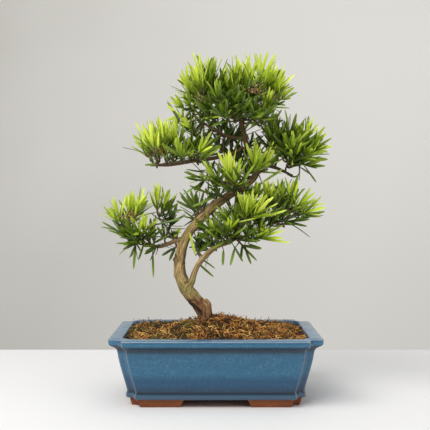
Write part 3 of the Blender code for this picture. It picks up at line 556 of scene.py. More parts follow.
def node_of(tree, kind, inputs, **settings):
    """A node's outputs. Each input is another node's output, a number, a vector or a colour."""
    node = tree.nodes.new("ShaderNode" + kind)
    for setting, value in settings.items():
        setattr(node, setting, value)
    for name, value in inputs.items():
        socket = node.inputs[name]
        if isinstance(value, bpy.types.NodeSocket):
            tree.links.new(value, socket)
        else:
            socket.default_value = (*value, 1.0) if socket.type == "RGBA" else value
    return node.outputs


def place_of(tree):
    return node_of(tree, "TexCoord", {})["Object"]


def side_of(tree, axis):
    """How far along an axis a point of the piece is, in metres."""
    return node_of(tree, "SeparateXYZ", {"Vector": place_of(tree)})[axis]


def attribute_of(tree, name, output="Fac"):
    return node_of(tree, "Attribute", {}, attribute_name=name)[output]


def noise_of(tree, source, scale, detail=3.0, roughness=0.5, stretch=None):
    """A noise texture on a source of coordinates, which a stretch scales first."""
    if stretch:
        source = node_of(tree, "Mapping", {"Vector": source, "Scale": stretch})["Vector"]
    inputs = {"Vector": source, "Scale": scale, "Detail": detail, "Roughness": roughness}
    return node_of(tree, "TexNoise", inputs)[0]


def ramp_of(tree, value, *stops):
    """A colour ramp: stops are a position and a colour each."""
    ramp = tree.nodes.new("ShaderNodeValToRGB")
    elements = ramp.color_ramp.elements
    while len(elements) < len(stops):
        elements.new(0.5)
    for element, (position, colour) in zip(elements, stops):
        element.position = position
        element.color = (*colour, 1.0)
    tree.links.new(value, ramp.inputs["Fac"])
    return ramp.outputs["Color"]


def mix_of(tree, share, first, second, blend="MIX"):
    """A mix of two colours."""
    return node_of(tree, "Mix", {0: share, 6: first, 7: second}, data_type="RGBA", blend_type=blend)[2]


def range_of(tree, value, low, high, to_low=0.0, to_high=1.0):
    inputs = {"Value": value, "From Min": low, "From Max": high, "To Min": to_low, "To Max": to_high}
    return node_of(tree, "MapRange", inputs)["Result"]


def math_of(tree, operation, *values):
    return node_of(tree, "Math", dict(enumerate(values)), operation=operation)[0]


def tinted(tree, colour, tint, value, low, high, share=1.0, within=None, blend="MIX"):
    """A colour that takes a tint, up to a share, as a value goes from low to high, and within a second range."""
    strength = range_of(tree, value, low, high, 0.0, share)
    if within:
        strength = math_of(tree, "MULTIPLY", strength, range_of(tree, value, *within))
    return mix_of(tree, strength, colour, tint, blend)


def finish(tree, shader, colour, relief=None, depth=0.0):
    """Gives a shader its colour, and its relief where there is one."""
    tree.links.new(colour, shader.inputs["Base Color"])
    if relief is not None:
        normal = node_of(tree, "Bump", {"Height": relief, "Distance": depth, "Strength": 1.0})["Normal"]
        tree.links.new(normal, shader.inputs["Normal"])


def make_blue_glaze():
    """Mottled denim-blue glaze: it breaks pale, then brown, where it runs thin, with a painted highlight on the lip's
    bead and arrises and a painted reflection on the corner columns; it pools darker low on the wall, and has painted
    shade at the wall's foot, in the groove over the bead and in the cove under the lip.
    """
    sockets = {"Coat_Weight": 0.15, "Coat_Roughness": 0.06, "Specular_IOR_Level": 0.42}
    material, tree, shader = nodes_of("blue_glaze", 0.2, **sockets)
    place, height, thin = place_of(tree), side_of(tree, "Z"), attribute_of(tree, "thin")
    fleck = noise_of(tree, place, 700.0, 2.0, 0.6)
    cloud = noise_of(tree, place, 85.0, 3.0, 0.55, (1.0, 1.0, 1.6))
    body = ramp_of(
        tree, fleck, (0.32, (0.014, 0.077, 0.150)), (0.50, (0.028, 0.130, 0.230)), (0.70, (0.066, 0.204, 0.312))
    )
    body = tinted(tree, body, (0.018, 0.106, 0.200), cloud, 0.35, 0.65, 0.65)
    pool = math_of(tree, "MULTIPLY_ADD", cloud, 0.010, height)
    body = tinted(tree, body, (0.009, 0.044, 0.112), pool, 0.0430, 0.0370, 0.62)
    # By height: painted shade at the foot of the wall, the bead's own tone there, painted shade in the groove over
    # it, and painted shade in the cove under the lip
    body = tinted(tree, body, (0.014, 0.018, 0.028), height, 0.0265, 0.0182, 0.50)
    body = tinted(tree, body, (0.048, 0.100, 0.160), height, 0.0158, 0.0142, 0.80)
    body = tinted(tree, body, (0.012, 0.020, 0.030), height, 0.0192, 0.0176, 0.82, (0.0146, 0.0158))
    body = tinted(tree, body, (0.013, 0.022, 0.036), height, 0.0714, 0.0696, 0.88, (0.0612, 0.0650))
    pale = mix_of(tree, range_of(tree, cloud, 0.3, 0.7), (0.13, 0.20, 0.28), (0.26, 0.30, 0.36))
    # Pale where the glaze runs thin, which also paints the highlight on the lip's bead and arrises and the reflection
    # on the corner columns; brown where it is thinnest
    body = tinted(tree, body, pale, thin, 0.12, 0.48, 0.85)
    body = tinted(tree, body, (0.19, 0.135, 0.12), thin, 0.62, 0.95, 0.8)
    finish(tree, shader, body, noise_of(tree, place, 240.0, 2.0), 0.0001)
    tree.links.new(range_of(tree, cloud, 0.3, 0.7, 0.14, 0.26), shader.inputs["Roughness"])
    return material


def make_bare_clay():
    material, tree, shader = nodes_of("bare_clay", 0.85)
    place = place_of(tree)
    grain = noise_of(tree, place, 900.0, 4.0, 0.7)
    colour = ramp_of(tree, grain, (0.3, (0.155, 0.040, 0.012)), (0.7, (0.315, 0.096, 0.026)))
    colour = tinted(tree, colour, (0.135, 0.040, 0.017), noise_of(tree, place, 70.0), 0.4, 0.75, 0.6)
    finish(tree, shader, colour, grain, 0.0002)
    return material


def make_bark():
    """Smooth tan bark with fine lengthwise lines, greener at the fork and red-brown at the ground, with painted shade
    on its +X side and in its creases.
    """
    material, tree, shader = nodes_of("bark", 0.75)
    grain, height = attribute_of(tree, "grain", "Vector"), side_of(tree, "Z")
    line = noise_of(tree, grain, 1.0, 4.0, 0.65, (900.0, 900.0, 80.0))
    patch = noise_of(tree, grain, 1.0, 3.0, 0.6, (230.0, 230.0, 60.0))
    dark, brown, tan, pale = (0.070, 0.038, 0.013), (0.240, 0.145, 0.050), (0.480, 0.340, 0.130), (0.74, 0.58, 0.29)
    colour = ramp_of(tree, line, (0.30, dark), (0.43, brown), (0.55, tan), (0.72, pale))
    colour = tinted(tree, colour, (0.340, 0.200, 0.110), patch, 0.52, 0.66, 0.75, blend="MULTIPLY")
    colour = tinted(tree, colour, (0.34, 0.27, 0.075), patch, 0.46, 0.32, 0.55)
    colour = tinted(tree, colour, (0.078, 0.038, 0.016), attribute_of(tree, "slim"), 0.0, 1.0, 0.85)
    # Painted shade on the side of the wood that faces +X, away from the window
    colour = tinted(tree, colour, (0.095, 0.050, 0.024), attribute_of(tree, "shaded_side"), 0.0, 1.0, 0.85)
    colour = tinted(tree, colour, (0.205, 0.074, 0.022), height, 0.119, 0.107, 0.72)
    colour = tinted(tree, colour, (0.20, 0.19, 0.045), height, 0.114, 0.124, 0.50, (0.142, 0.128))
    red_patch = tinted(tree, (1.0, 1.0, 1.0), (0.36, 0.20, 0.11), height, 0.1178, 0.1082)
    colour = tinted(tree, colour, red_patch, patch, 0.50, 0.60, blend="MULTIPLY")
    # Painted shade in the creases low on the trunk
    colour = tinted(tree, colour, (0.020, 0.010, 0.006), attribute_of(tree, "crease_shade"), 0.0, 0.8, 0.9)
    colour = tinted(tree, colour, (0.095, 0.050, 0.022), height, 0.235, 0.29, 0.70)
    finish(tree, shader, colour, line, 0.0006)
    return material


def make_twig_skin():
    material, tree, shader = nodes_of("twig_skin", 0.7)
    line = noise_of(tree, place_of(tree), 500.0)
    colour = ramp_of(tree, line, (0.35, (0.045, 0.028, 0.012)), (0.65, (0.150, 0.100, 0.045)))
    colour = tinted(tree, colour, (0.110, 0.170, 0.025), attribute_of(tree, "along"), 0.35, 0.8)
    finish(tree, shader, colour, line, 0.0002)
    return material


def make_leaf_skin(kind):
    """A leaf's skin: its tone runs from dark to bright, with a paler midrib, a tip of its own colour and painted
    shade towards its root.
    """
    dark, middle, bright, tip, roughness = LEAF_TONES[kind]
    material, tree, shader = nodes_of(kind + "_leaf_skin", roughness, Specular_IOR_Level=0.5)
    along = attribute_of(tree, "along")
    colour = ramp_of(tree, attribute_of(tree, "tone"), (0.0, dark), (0.5, middle), (1.0, bright))
    colour = tinted(tree, colour, middle, noise_of(tree, place_of(tree), 240.0, 2.0), 0.35, 0.65, 0.22)
    colour = tinted(tree, colour, tip, along, 0.45, 1.0, 0.55)
    # Painted shade towards the leaf's root, where the leaves around it shade it
    colour = tinted(tree, colour, dark, along, 0.40, 0.0, 0.65)
    colour = tinted(tree, colour, bright, attribute_of(tree, "rib"), 0.5, 1.0, 0.32)
    finish(tree, shader, colour)
    glow = node_of(tree, "BsdfTranslucent", {"Color": colour})
    blend = node_of(tree, "MixShader", {0: 0.25, 1: shader.outputs[0], 2: glow[0]})
    tree.links.new(blend[0], tree.nodes["Material Output"].inputs["Surface"])
    return material


def make_dry_moss():
    """Dried moss: each strand's tone runs from brown to gold, and some patches are still green."""
    material, tree, shader = nodes_of("dry_moss", 0.9)
    tone = attribute_of(tree, "tone")
    black, brown, rust = (0.016, 0.007, 0.003), (0.075, 0.030, 0.008), (0.320, 0.118, 0.020)
    gold, straw = (0.700, 0.318, 0.058), (0.860, 0.560, 0.170)
    dry = ramp_of(tree, tone, (0.0, black), (0.25, brown), (0.50, rust), (0.76, gold), (1.0, straw))
    shade, olive, lime = (0.010, 0.008, 0.003), (0.075, 0.062, 0.012), (0.460, 0.350, 0.080)
    green = ramp_of(tree, tone, (0.0, shade), (0.5, olive), (1.0, lime))
    wet = math_of(tree, "MULTIPLY_ADD", side_of(tree, "X"), -1.1, noise_of(tree, place_of(tree), 42.0, 2.0))
    finish(tree, shader, tinted(tree, dry, green, wet, 0.52, 0.64, 0.85))
    return material


def make_crumbly(name, roughness, scale, detail, grit, stops, depth=0.0):
    """A finish of one fine pattern in a few tones."""
    material, tree, shader = nodes_of(name, roughness)
    crumb = noise_of(tree, place_of(tree), scale, detail, grit)
    finish(tree, shader, ramp_of(tree, crumb, *stops), crumb if depth else None, depth)
    return material


def make_moss_bed():
    stops = (0.3, (0.008, 0.004, 0.002)), (0.55, (0.045, 0.018, 0.006)), (0.75, (0.140, 0.060, 0.015))
    return make_crumbly("moss_bed", 0.95, 420.0, 5.0, 0.7, stops, 0.0015)


def make_soil():
    stops = (0.35, (0.012, 0.008, 0.005)), (0.7, (0.085, 0.055, 0.032))
    return make_crumbly("potting_soil", 0.95, 500.0, 5.0, 0.7, stops, 0.001)


def make_screen_plastic():
    stops = (0.3, (0.012, 0.012, 0.012)), (0.7, (0.028, 0.028, 0.028))
    return make_crumbly("screen_plastic", 0.55, 300.0, 3.0, 0.5, stops, 0.0001)


def make_bud_skin():
    stops = (0.44, (0.050, 0.026, 0.010)), (0.60, (0.430, 0.275, 0.085))
    return make_crumbly("bud_skin", 0.75, 900.0, 3.0, 0.5, stops)


# Pot


def mirrored_quarters(quarter):
    """A closed outline from the points of its +X +Y quarter, given from the X axis towards the Y axis."""
    left_back = [(-x, y) for x, y in reversed(quarter)]
    left_front = [(-x, -y) for x, y in quarter]
    right_front = [(x, -y) for x, y in reversed(quarter)]
    return quarter + left_back + left_front + right_front


def notched_outline(inset, notch_x, notch_y):
    """The pot's outside at one height: a rectangle whose corners are stepped in, every edge softened."""
    length, width = POT_HALF_LENGTH - inset, POT_HALF_WIDTH - inset
    corners = [
        Vector((length, 0.0)),
        Vector((length, width - notch_y)),
        Vector((length - notch_x * NOTCH_FLAT_SHARE, width - notch_y)),
        Vector((length - notch_x, width - notch_y * NOTCH_FLAT_SHARE)),
        Vector((length - notch_x, width)),
        Vector((0.0, width)),
    ]
    quarter = [(length, (width - notch_y) * k / 4) for k in (1, 2, 3)]
    for before, corner, after in zip(corners, corners[1:], corners[2:]):
        back, on = before - corner, after - corner
        start = corner + back.normalized() * min(ARRIS_SOFTNESS, back.length * 0.45)
        end = corner + on.normalized() * min(ARRIS_SOFTNESS, on.length * 0.45)
        for step in range(ARRIS_STEPS + 1):
            t = step / ARRIS_STEPS
            quarter.append(tuple(start * (1 - t) ** 2 + corner * (2 * t * (1 - t)) + end * t**2))
    quarter += [((length - notch_x) * k / 6, width) for k in (5, 4, 3, 2, 1)]
    return mirrored_quarters(quarter)


def round_outline(half_length, half_width, steps=19):
    """A rectangle with round corners."""
    radius = WALL_RADIUS
    quarter = [(half_length, (half_width - radius) * k / 4) for k in (1, 2, 3)]
    for step in range(steps + 1):
        angle = math.radians(90) * step / steps
        x = half_length - radius + radius * math.cos(angle)
        quarter.append((x, half_width - radius + radius * math.sin(angle)))
    quarter += [((half_length - radius) * k / 6, half_width) for k in (5, 4, 3, 2, 1)]
    return mirrored_quarters(quarter)


def add_channel(bm, halves, along_y):
    """A channel under the pot, wider at the ground than at the top, through both sides."""
    top, ground = halves
    right = ((ground, CUT_FOOT), (top, FOOT_HEIGHT), (top, GAP_TOP))
    profile = ((-ground, CUT_FOOT), *right, (-top, GAP_TOP), (-top, FOOT_HEIGHT))
    ends = (-POT_HALF_LENGTH, POT_HALF_LENGTH)
    extrude_through(bm, [[(a, end, z) if along_y else (end, a, z) for a, z in profile] for end in ends])


def add_block(bm, low, high):
    size = Vector(high) - Vector(low)
    middle = (Vector(high) + Vector(low)) / 2
    bmesh.ops.create_cube(bm, size=1.0, matrix=Matrix.Translation(middle) @ Matrix.Diagonal((*size, 1.0)))


def add_drains(bm):
    for side in (-1, 1):
        place = Matrix.Translation((side * DRAIN_X, 0.0, 0.012))
        radii = {"radius1": DRAIN_RADIUS, "radius2": DRAIN_RADIUS}
        bmesh.ops.create_cone(bm, cap_ends=True, segments=40, **radii, depth=0.02, matrix=place)


def outer_row(height):
    """The outside's inset and notches at a height."""
    for low, high in zip(OUTER_LEVELS, OUTER_LEVELS[1:]):
        if height <= high[0]:
            share = max(0.0, (height - low[0]) / (high[0] - low[0]))
            return [a + (b - a) * share for a, b in zip(low[1:], high[1:])]
    return OUTER_LEVELS[-1][1:]


def fading(distance, reach):
    """1 at no distance, falling to 0 at the reach."""
    return max(0.0, 1 - distance / reach)


def glaze_thinness_and_highlight(x, y, z):
    """How thin the glaze has run at a point of the pot, from 0 to 1, with a painted highlight on the lip's bead and
    arrises and a painted reflection on the corner columns. It is thick on the inside.
    """
    inset, notch_x, notch_y = outer_row(z)
    if not any(math.hypot(x - px, y - py) < 0.00002 for px, py in notched_outline(inset, notch_x, notch_y)):
        return 0.0
    past_length, past_width = abs(x) - POT_HALF_LENGTH + inset, abs(y) - POT_HALF_WIDTH + inset
    arris = min(math.hypot(past_width, past_length + notch_x), math.hypot(past_length, past_width + notch_y))
    in_column = past_length + notch_x > COLUMN_MARGINS[0] and past_width + notch_y > -COLUMN_MARGINS[1]
    return max(
        # The lip's bead: thin glaze, and a painted highlight
        BEAD_THIN_AND_HIGHLIGHT * fading(abs(z - BEAD_HEIGHT), BEAD_REACH),
        GLAZE_EDGE_THINNESS * fading(abs(z - GLAZE_EDGE_HEIGHT), GLAZE_EDGE_REACH),
        # The corner arrises: thin glaze, and a painted highlight beside them
        ARRIS_THIN_AND_HIGHLIGHT * fading(max(0.0, arris - ARRIS_FLAT), ARRIS_REACH),
        # The corner columns: a painted reflection, not thin glaze
        COLUMN_REFLECTION if in_column else 0.0,
    )


def make_pot():
    def shell(bm):
        rings = [[(x, y, z) for x, y in notched_outline(*row)] for z, *row in OUTER_LEVELS]
        for z, inset in INNER_LEVELS:
            halves = (POT_HALF_LENGTH - END_RIM_WIDTH - inset, POT_HALF_WIDTH - RIM_WIDTH - inset)
            rings.append([(x, y, z) for x, y in round_outline(*halves)])
        extrude_through(bm, rings)

    def foot_ring(bm):
        extrude_through(bm, [[(x, y, z) for x, y in notched_outline(inset, *FOOT_NOTCH)] for z, inset in FOOT_LEVELS])

    def between_feet(bm):
        inner = FOOT_LEVELS[1][1] + FOOT_RUN
        far = (POT_HALF_LENGTH - inner, POT_HALF_WIDTH - inner, FEET_HOLLOW_TOP)
        add_block(bm, (-far[0], -far[1], CUT_FOOT), far)

    pot = piece_from("glazed_pot", loose_bmesh(shell), make_blue_glaze(), 60)
    cut(pot, add_drains)
    carry(pot.data, "thin", [glaze_thinness_and_highlight(*vert.co) for vert in pot.data.vertices])
    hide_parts("pot")
    clay = make_bare_clay()
    feet = piece_from("clay_feet", loose_bmesh(foot_ring), clay, 40)
    cut(feet, between_feet)
    cut(feet, lambda bm: add_channel(bm, GAP_ALONG_X, True))
    cut(feet, lambda bm: add_channel(bm, GAP_ALONG_Y, False))
    pot.data.materials.append(clay)
    for face in pot.data.polygons:
        if face.center.z < FOOT_HEIGHT + 0.0001 and face.normal.z < -0.5:
            face.material_index = 1


# Ground


def heap_height(x, y):
    """The ground's height: a heap round the trunk, and a little more behind than in front."""
    along = (x - HEAP_MIDDLE[0]) / HEAP_REACH[0]
    across = (y - HEAP_MIDDLE[1]) / HEAP_REACH[1]
    behind = clamped(y / POT_HALF_WIDTH)
    return MOSS_EDGE + MOSS_REAR_RISE * behind + MOSS_HEAP * math.exp(-(along**2) - across**2)


def moss_height(x, y):
    bump = noise.noise(Vector((x, y, 0.0)) / MOSS_BUMP_SIZE)
    return heap_height(x, y) + MOSS_BUMP * (bump + 0.5 * noise.noise(Vector((y, x, 0.03)) / MOSS_LUMP_SIZE))


def inner_halves():
    return POT_HALF_LENGTH - END_RIM_WIDTH - MOSS_WALL_GAP, POT_HALF_WIDTH - RIM_WIDTH - MOSS_WALL_GAP


def make_moss_surface():
    """The moss's own body, round the trunk and out to the wall."""
    hole_x, hole_y, hole_radius = TRUNK_HOLE

    def top(x, y):
        grit = MOSS_GRIT * noise.noise(Vector((x, y, 0.5)) / MOSS_GRIT_SIZE)
        return moss_height(x, y) - MOSS_SINK + grit

    def underside(x, y):
        return heap_height(x, y) - MOSS_DEPTH

    def ring(share, height):
        points = []
        for x, y in round_outline(*inner_halves(), steps=12):
            towards = math.atan2(y - hole_y, x - hole_x)
            near = Vector((hole_x + hole_radius * math.cos(towards), hole_y + hole_radius * math.sin(towards)))
            point = near.lerp(Vector((x, y)), share)
            points.append((point.x, point.y, height(point.x, point.y)))
        return points

    def build(bm):
        rings = [ring((k / 34) ** 0.95, top) for k in range(35)]
        rings += [ring(share, underside) for share in (1.0, 0.75, 0.5, 0.25, 0.0)]
        loops = []
        for points in rings:
            verts = [bm.verts.new(point) for point in points]
            loops.append([bm.edges.new((verts[k - 1], verts[k])) for k in range(len(verts))])
        for first, second in zip(loops, loops[1:] + loops[:1]):
            bmesh.ops.bridge_loops(bm, edges=first + second)

    bed = piece_from("moss_bed", loose_bmesh(build), make_moss_bed(), 80)
    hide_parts("moss")


def shape_from(name, bm, attributes):
    """A mesh to copy, with a number on each point for each attribute."""
    mesh = mesh_from(name, bm)
    for attribute in attributes:
        if attribute not in mesh.attributes:
            mesh.attributes.new(attribute, "FLOAT", "POINT")
    return mesh


def strand_shape(bend, kink):
    """One dried moss strand, 1 long, thin and bent."""

    def row(t):
        bow, wave = bend * (t - 0.5) ** 2 * 2, kink * math.sin(t * math.pi * 1.5)
        return t - 0.5, bow, wave, STRAND_RADIUS * (1 - 0.6 * t)

    strand = loose_bmesh(lambda bm: add_tube(bm, [row(k / 4) for k in range(5)], 3))
    return shape_from("strand", strand, ("tone",))


def gathered(copies):
    """One bmesh from many copies: each a shape, its place and its tone."""
    bm = bmesh.new()
    for shape, place, tone in copies:
        copy = shape.copy()
        copy.transform(place)
        copy.attributes["tone"].data.foreach_set("value", [tone] * len(copy.vertices))
        bm.from_mesh(copy)
        bpy.data.meshes.remove(copy)
    return bm


def in_bowl(x, y, spare):
    """Whether a point is inside the pot's inner wall, or no further than spare beyond it."""
    half_length, half_width = inner_halves()
    corner = Vector((max(0, abs(x) - half_length + WALL_RADIUS), max(0, abs(y) - half_width + WALL_RADIUS)))
    return corner.length < WALL_RADIUS + spare


def make_moss_strands():
    """Loose strands on the moss: most lie flat, a few stand, and the last ones are golden curls. The lower a strand
    lies, the darker its tone: a painted shade.
    """
    draw = random.Random(31)
    half_length, half_width = inner_halves()
    hole_x, hole_y, hole_radius = TRUNK_HOLE
    copies = []
    for kind in (STRANDS, CURLS):
        curled = kind is CURLS
        shapes = [strand_shape(*bends) for bends in kind["bends"]]
        wanted = len(copies) + kind["count"]
        while len(copies) < wanted:
            x, y = draw.uniform(-half_length, half_length), draw.uniform(-half_width, half_width)
            if not in_bowl(x, y, -kind["wall_gap"]) or math.hypot(x - hole_x, y - hole_y) < hole_radius:
                continue
            length = draw.uniform(*kind["lengths"])
            lies = curled or draw.random() > STANDING_SHARE
            tilt = draw.gauss(0, LYING_TILT) if lies else draw.uniform(*STANDING_TILTS)
            lift = abs(math.sin(tilt)) * length * 0.35 + draw.uniform(*STRAND_LIFTS)
            heading = draw.uniform(0, math.tau)
            reach = Vector((math.cos(heading), math.sin(heading))) * length / 2
            if not all(in_bowl(x + side * reach.x, y + side * reach.y, END_PAST_WALL) for side in (1, -1)):
                continue
            turn = Matrix.Rotation(heading, 4, "Z") @ Matrix.Rotation(-tilt, 4, "Y")
            turn = turn @ Matrix.Rotation(draw.gauss(0, kind["roll"]), 4, "X")
            width = draw.uniform(*kind["widths"]) * STRAND_FULL_LENGTH / length
            size = Matrix.Diagonal((length, length * width, length * width, 1.0))
            rise = 1.0 if curled else draw.random()
            lift += STRAND_LAYER * (rise - 1.1)
            spot = Matrix.Translation((x, y, moss_height(x, y) + lift))
            patch = noise.noise(Vector((x, y, 0.7)) / PATCH_SIZE)
            clump = noise.noise(Vector((x, y, 0.2)) / CLUMP_SIZE) + 0.6 * patch
            # The lower strands get darker tones: painted shade in the depth of the moss
            tone = draw.gauss(0.70 if curled else -0.04 + 0.44 * rise, 0.17) + 0.50 * clump
            copies.append((draw.choice(shapes), spot @ turn @ size, clamped(tone)))
    for share in range(2):
        some = gathered(copies[share::2])
        piece_from(f"moss_strands_{share + 1}", some, make_dry_moss(), 180)


# Wood


def root_paths():
    """Roots that run out and down through the soil."""
    draw = random.Random(7)
    foot = Vector(TRUNK[1][:2])
    paths = []
    for k in range(ROOTS):
        angle = math.tau * (k + draw.uniform(-0.2, 0.2)) / ROOTS
        path = []
        for step, radius in enumerate(ROOT_RADII):
            share = step / (len(ROOT_RADII) - 1)
            turn = angle + 0.3 * share * draw.uniform(-1, 1)
            spot = foot + Vector((math.cos(turn), math.sin(turn))) * (ROOT_LENGTH * share)
            path.append((spot.x, spot.y, ROOT_TOP - ROOT_DROP * share**1.3, radius))
        paths.append(path)
    return paths


def creases_at(point):
    """How far into a crease a point is, from 0 to 1, and how deep the crease is there."""
    deepest = (0.0, 0.0)
    if point.z < CREASES_TOP:
        for width, depth, line in CREASES:
            share = fading(min((point - row).length for row in smooth_path(line, 5)), width)
            if share * depth > deepest[1]:
                deepest = (min(1.0, share * 1.6), share * depth)
    return deepest


def make_wood():
    """Trunk, branches, roots, healed wound and stub as one skin, with lengthwise bark lines."""
    stems = [TRUNK, *BRANCHES.values(), BROKEN_STUB, HEALED_COLLAR, *root_paths()]

    def build(bm):
        for stem in stems:
            add_tube(bm, smooth_path(stem, 4), 24)

    wood = piece_from("wood", loose_bmesh(build), make_bark(), 180)
    skin = wood.modifiers.new("skin", "REMESH")
    skin.mode = "VOXEL"
    skin.voxel_size = BARK_VOXEL
    skin.use_smooth_shade = True
    wood.modifiers.new("soften", "SMOOTH").iterations = 4
    applied(wood)
    rows = [row for stem in stems for row in smooth_path(stem, 8)]
    tree = KDTree(len(rows))
    for index, row in enumerate(rows):
        tree.insert(Vector(row[:3]), index)
    tree.balance()
    grain, crease_shade, slim, shaded_side = [], [], [], []
    normals = [vert.normal.copy() for vert in wood.data.vertices]
    for vert, normal in zip(wood.data.vertices, normals):
        _, index, _ = tree.find(vert.co)
        radius = rows[index][3]
        along = Vector(rows[min(index + 1, len(rows) - 1)][:3]) - Vector(rows[max(index - 1, 0)][:3])
        along = along.normalized() if along.length < LONGEST_STEP else Vector((0, 0, 1))
        out = vert.co - Vector(rows[index][:3])
        out -= along * out.dot(along)
        out = out.normalized() * radius
        lines = noise.noise(Vector((out.x, out.y, vert.co.z * 0.12)) / BARK_LINE_SIZE)
        lumps = noise.noise(vert.co / BARK_LUMP_SIZE)
        knobs = max(0.0, noise.noise(vert.co / BARK_KNOB_SIZE) - 0.15)
        # How far into a crease the point is, which sets its painted shade, and how deep the crease sinks
        crease, depth = creases_at(vert.co)
        # Painted shade: darker where the skin faces +X, broken up by the bark lines
        side_shade = clamped((normal.x - 0.45 + 0.3 * lines) / 0.35)
        crease_shade.append(crease)
        shaded_side.append(side_shade if vert.co.z > SHADED_SIDE_FROM else 0.0)
        slim.append(clamped((SLIM_RADIUS - radius) / 0.0014))
        vert.co += normal * (radius * (BARK_LINES * lines + BARK_LUMPS * lumps + BARK_KNOBS * knobs) - depth)
        grain += (out.x, out.y, vert.co.z)
    carry(wood.data, "grain", grain, "FLOAT_VECTOR")
    for name, numbers in (("crease_shade", crease_shade), ("slim", slim), ("shaded_side", shaded_side)):
        carry(wood.data, name, numbers)
    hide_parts("trunk")


# Foliage


def tuft_axis(lean, size, y, spray):
    """A tuft's direction and true size. One that looks short leans out of the view, away from the spray's middle."""
    true_size = max(size, min(FULL_TUFT, size / LEAST_SHARE_ACROSS))
    across = size / true_size
    outward = (y - spray["middle_y"]) / spray["depth"]
    depth = math.copysign(math.sqrt(1 - across**2), outward) + 0.35 * outward
    angle = math.radians(lean)
    return Vector((math.sin(angle) * across, depth, math.cos(angle) * across)).normalized(), true_size


def tufts_of(name):
    """A spray's main shoots, those on its far side included: foot, direction, share of new growth, kind and size."""
    spray = SPRAYS[name]
    draw = random.Random(name)
    tufts = list(spray["tufts"])
    for x, y, z, lean, youth, size in spray["tufts"][: spray["behind"]]:
        far_y = spray["middle_y"] + spray["depth"] * draw.uniform(*FAR_DEPTH)
        x += draw.uniform(-FAR_SHIFT, FAR_SHIFT)
        z -= draw.uniform(*FAR_DROP)
        tufts.append((x, far_y, z, lean + draw.uniform(-FAR_TURN, FAR_TURN), youth, size))
    shoots = []
    for x, y, z, lean, youth, size in tufts:
        axis, true_size = tuft_axis(lean, size, y, spray)
        kind = "hanging" if abs(lean) >= HANGING_LEAN else "tuft"
        shoots.append((Vector((x, y, z)), axis, youth, kind, true_size))
    return shoots


def lesser_shoots(name, tufts):
    """Side shoots beside the main ones, and shaded shoots lower down between them."""
    draw = random.Random(name + " lesser")
    low_z = min(tuft[0].z for tuft in tufts)
    upright = [tuft for tuft in tufts if tuft[3] != "hanging"]
    lesser = []
    for foot, axis, youth, _, size in [tuft for tuft in upright if tuft[4] > SIDE_SHOOT_FROM]:
        turn = draw.uniform(0, math.tau)
        aside = Vector((math.cos(turn), math.sin(turn), 0)) * draw.uniform(*SIDE_REACH)
        spot = foot + aside - Vector((0, 0, draw.uniform(0.0, SIDE_DROP)))
        tilt = axis + aside * draw.uniform(*SIDE_TILT)
        lesser.append((spot, tilt.normalized(), youth * draw.uniform(*SIDE_YOUTH), "side", size * SIDE_SIZE))
    for _ in range(SPRAYS[name]["fill"]):
        first, second = draw.choice(upright), draw.choice(upright)
        share = draw.uniform(0.25, 0.75)
        spot = first[0].lerp(second[0], share) + Vector((draw.gauss(0, 0.004), draw.gauss(0, 0.005), 0))
        spot.z = max(low_z - SHADED_BELOW, spot.z - draw.uniform(*SHADED_DROP))
        tilt = first[1].lerp(second[1], share) + Vector((draw.gauss(0, 0.5), draw.gauss(0, 0.5), draw.gauss(0, 0.2)))
        lesser.append((spot, tilt.normalized(), draw.uniform(0.0, SHADED_YOUTH), "shaded", SHADED_SIZE))
    return lesser


def twig_path(start, foot, axis):
    """A twig that leaves the wood at start and arrives at a shoot's foot along the shoot."""
    leave = start + (foot - start) * 0.4
    arrive = foot - axis * (foot - start).length * 0.35
    points = []
    for t in (0.0, 0.25, 0.5, 0.75, 1.0):
        away, near = start * (1 - t) ** 3 + leave * (3 * t * (1 - t) ** 2), arrive * (3 * t**2 * (1 - t))
        points.append(away + near + foot * t**3)
    return points


def spray_twigs(name, shoots):
    """A spray's twigs: a first stem that goes on from its branch, then one twig to each shoot."""
    on_trunk = SPRAYS[name]["branch"] == "trunk"
    branch = TRUNK if on_trunk else BRANCHES[SPRAYS[name]["branch"]]
    end, before = Vector(branch[-1][:3]), Vector(branch[-2][:3])
    ahead = (end - before).normalized()
    stem = [end + ahead * (STEM_START * k - STEM_OVERLAP) for k in range(5)]
    radius = branch[-1][3] * 0.92
    paths = [[(*point, radius * (1 - 0.08 * k)) for k, point in enumerate(stem)]]
    # Where twigs may start: a point of the wood, its radius and how far along a twig it is
    wood = [(point, radius * 0.8, (point - end).length) for point in stem[2:]]
    rows = smooth_path(branch[-3:] if on_trunk else branch[1:], 3)
    wood += [(Vector(row[:3]), row[3] * 0.7, 0.0) for row in rows]
    if name == "under_crown":
        wood += [(Vector(row[:3]), row[3] * 0.5, 0.0) for row in smooth_path(TRUNK[-5:], 3)]
    for foot, axis, _, _, size in sorted(shoots, key=lambda shoot: (shoot[0] - end).length):
        start, start_radius, run = min(wood, key=lambda item: (foot - item[0]).length + 0.4 * item[2])
        base = min(start_radius, TWIG_BASE)
        points = [*twig_path(start, foot, axis), foot + axis * SHOOT_LENGTH * size]
        radii = [base + (TWIG_END - base) * k / 4 for k in range(5)] + [TWIG_TIP]
        paths.append([(*point, r) for point, r in zip(points, radii)])
        wood.append((points[2], radii[2], run + (points[2] - start).length))
        wood.append((points[4], radii[4], run + (foot - start).length))
    return paths, [item[0] for item in wood]


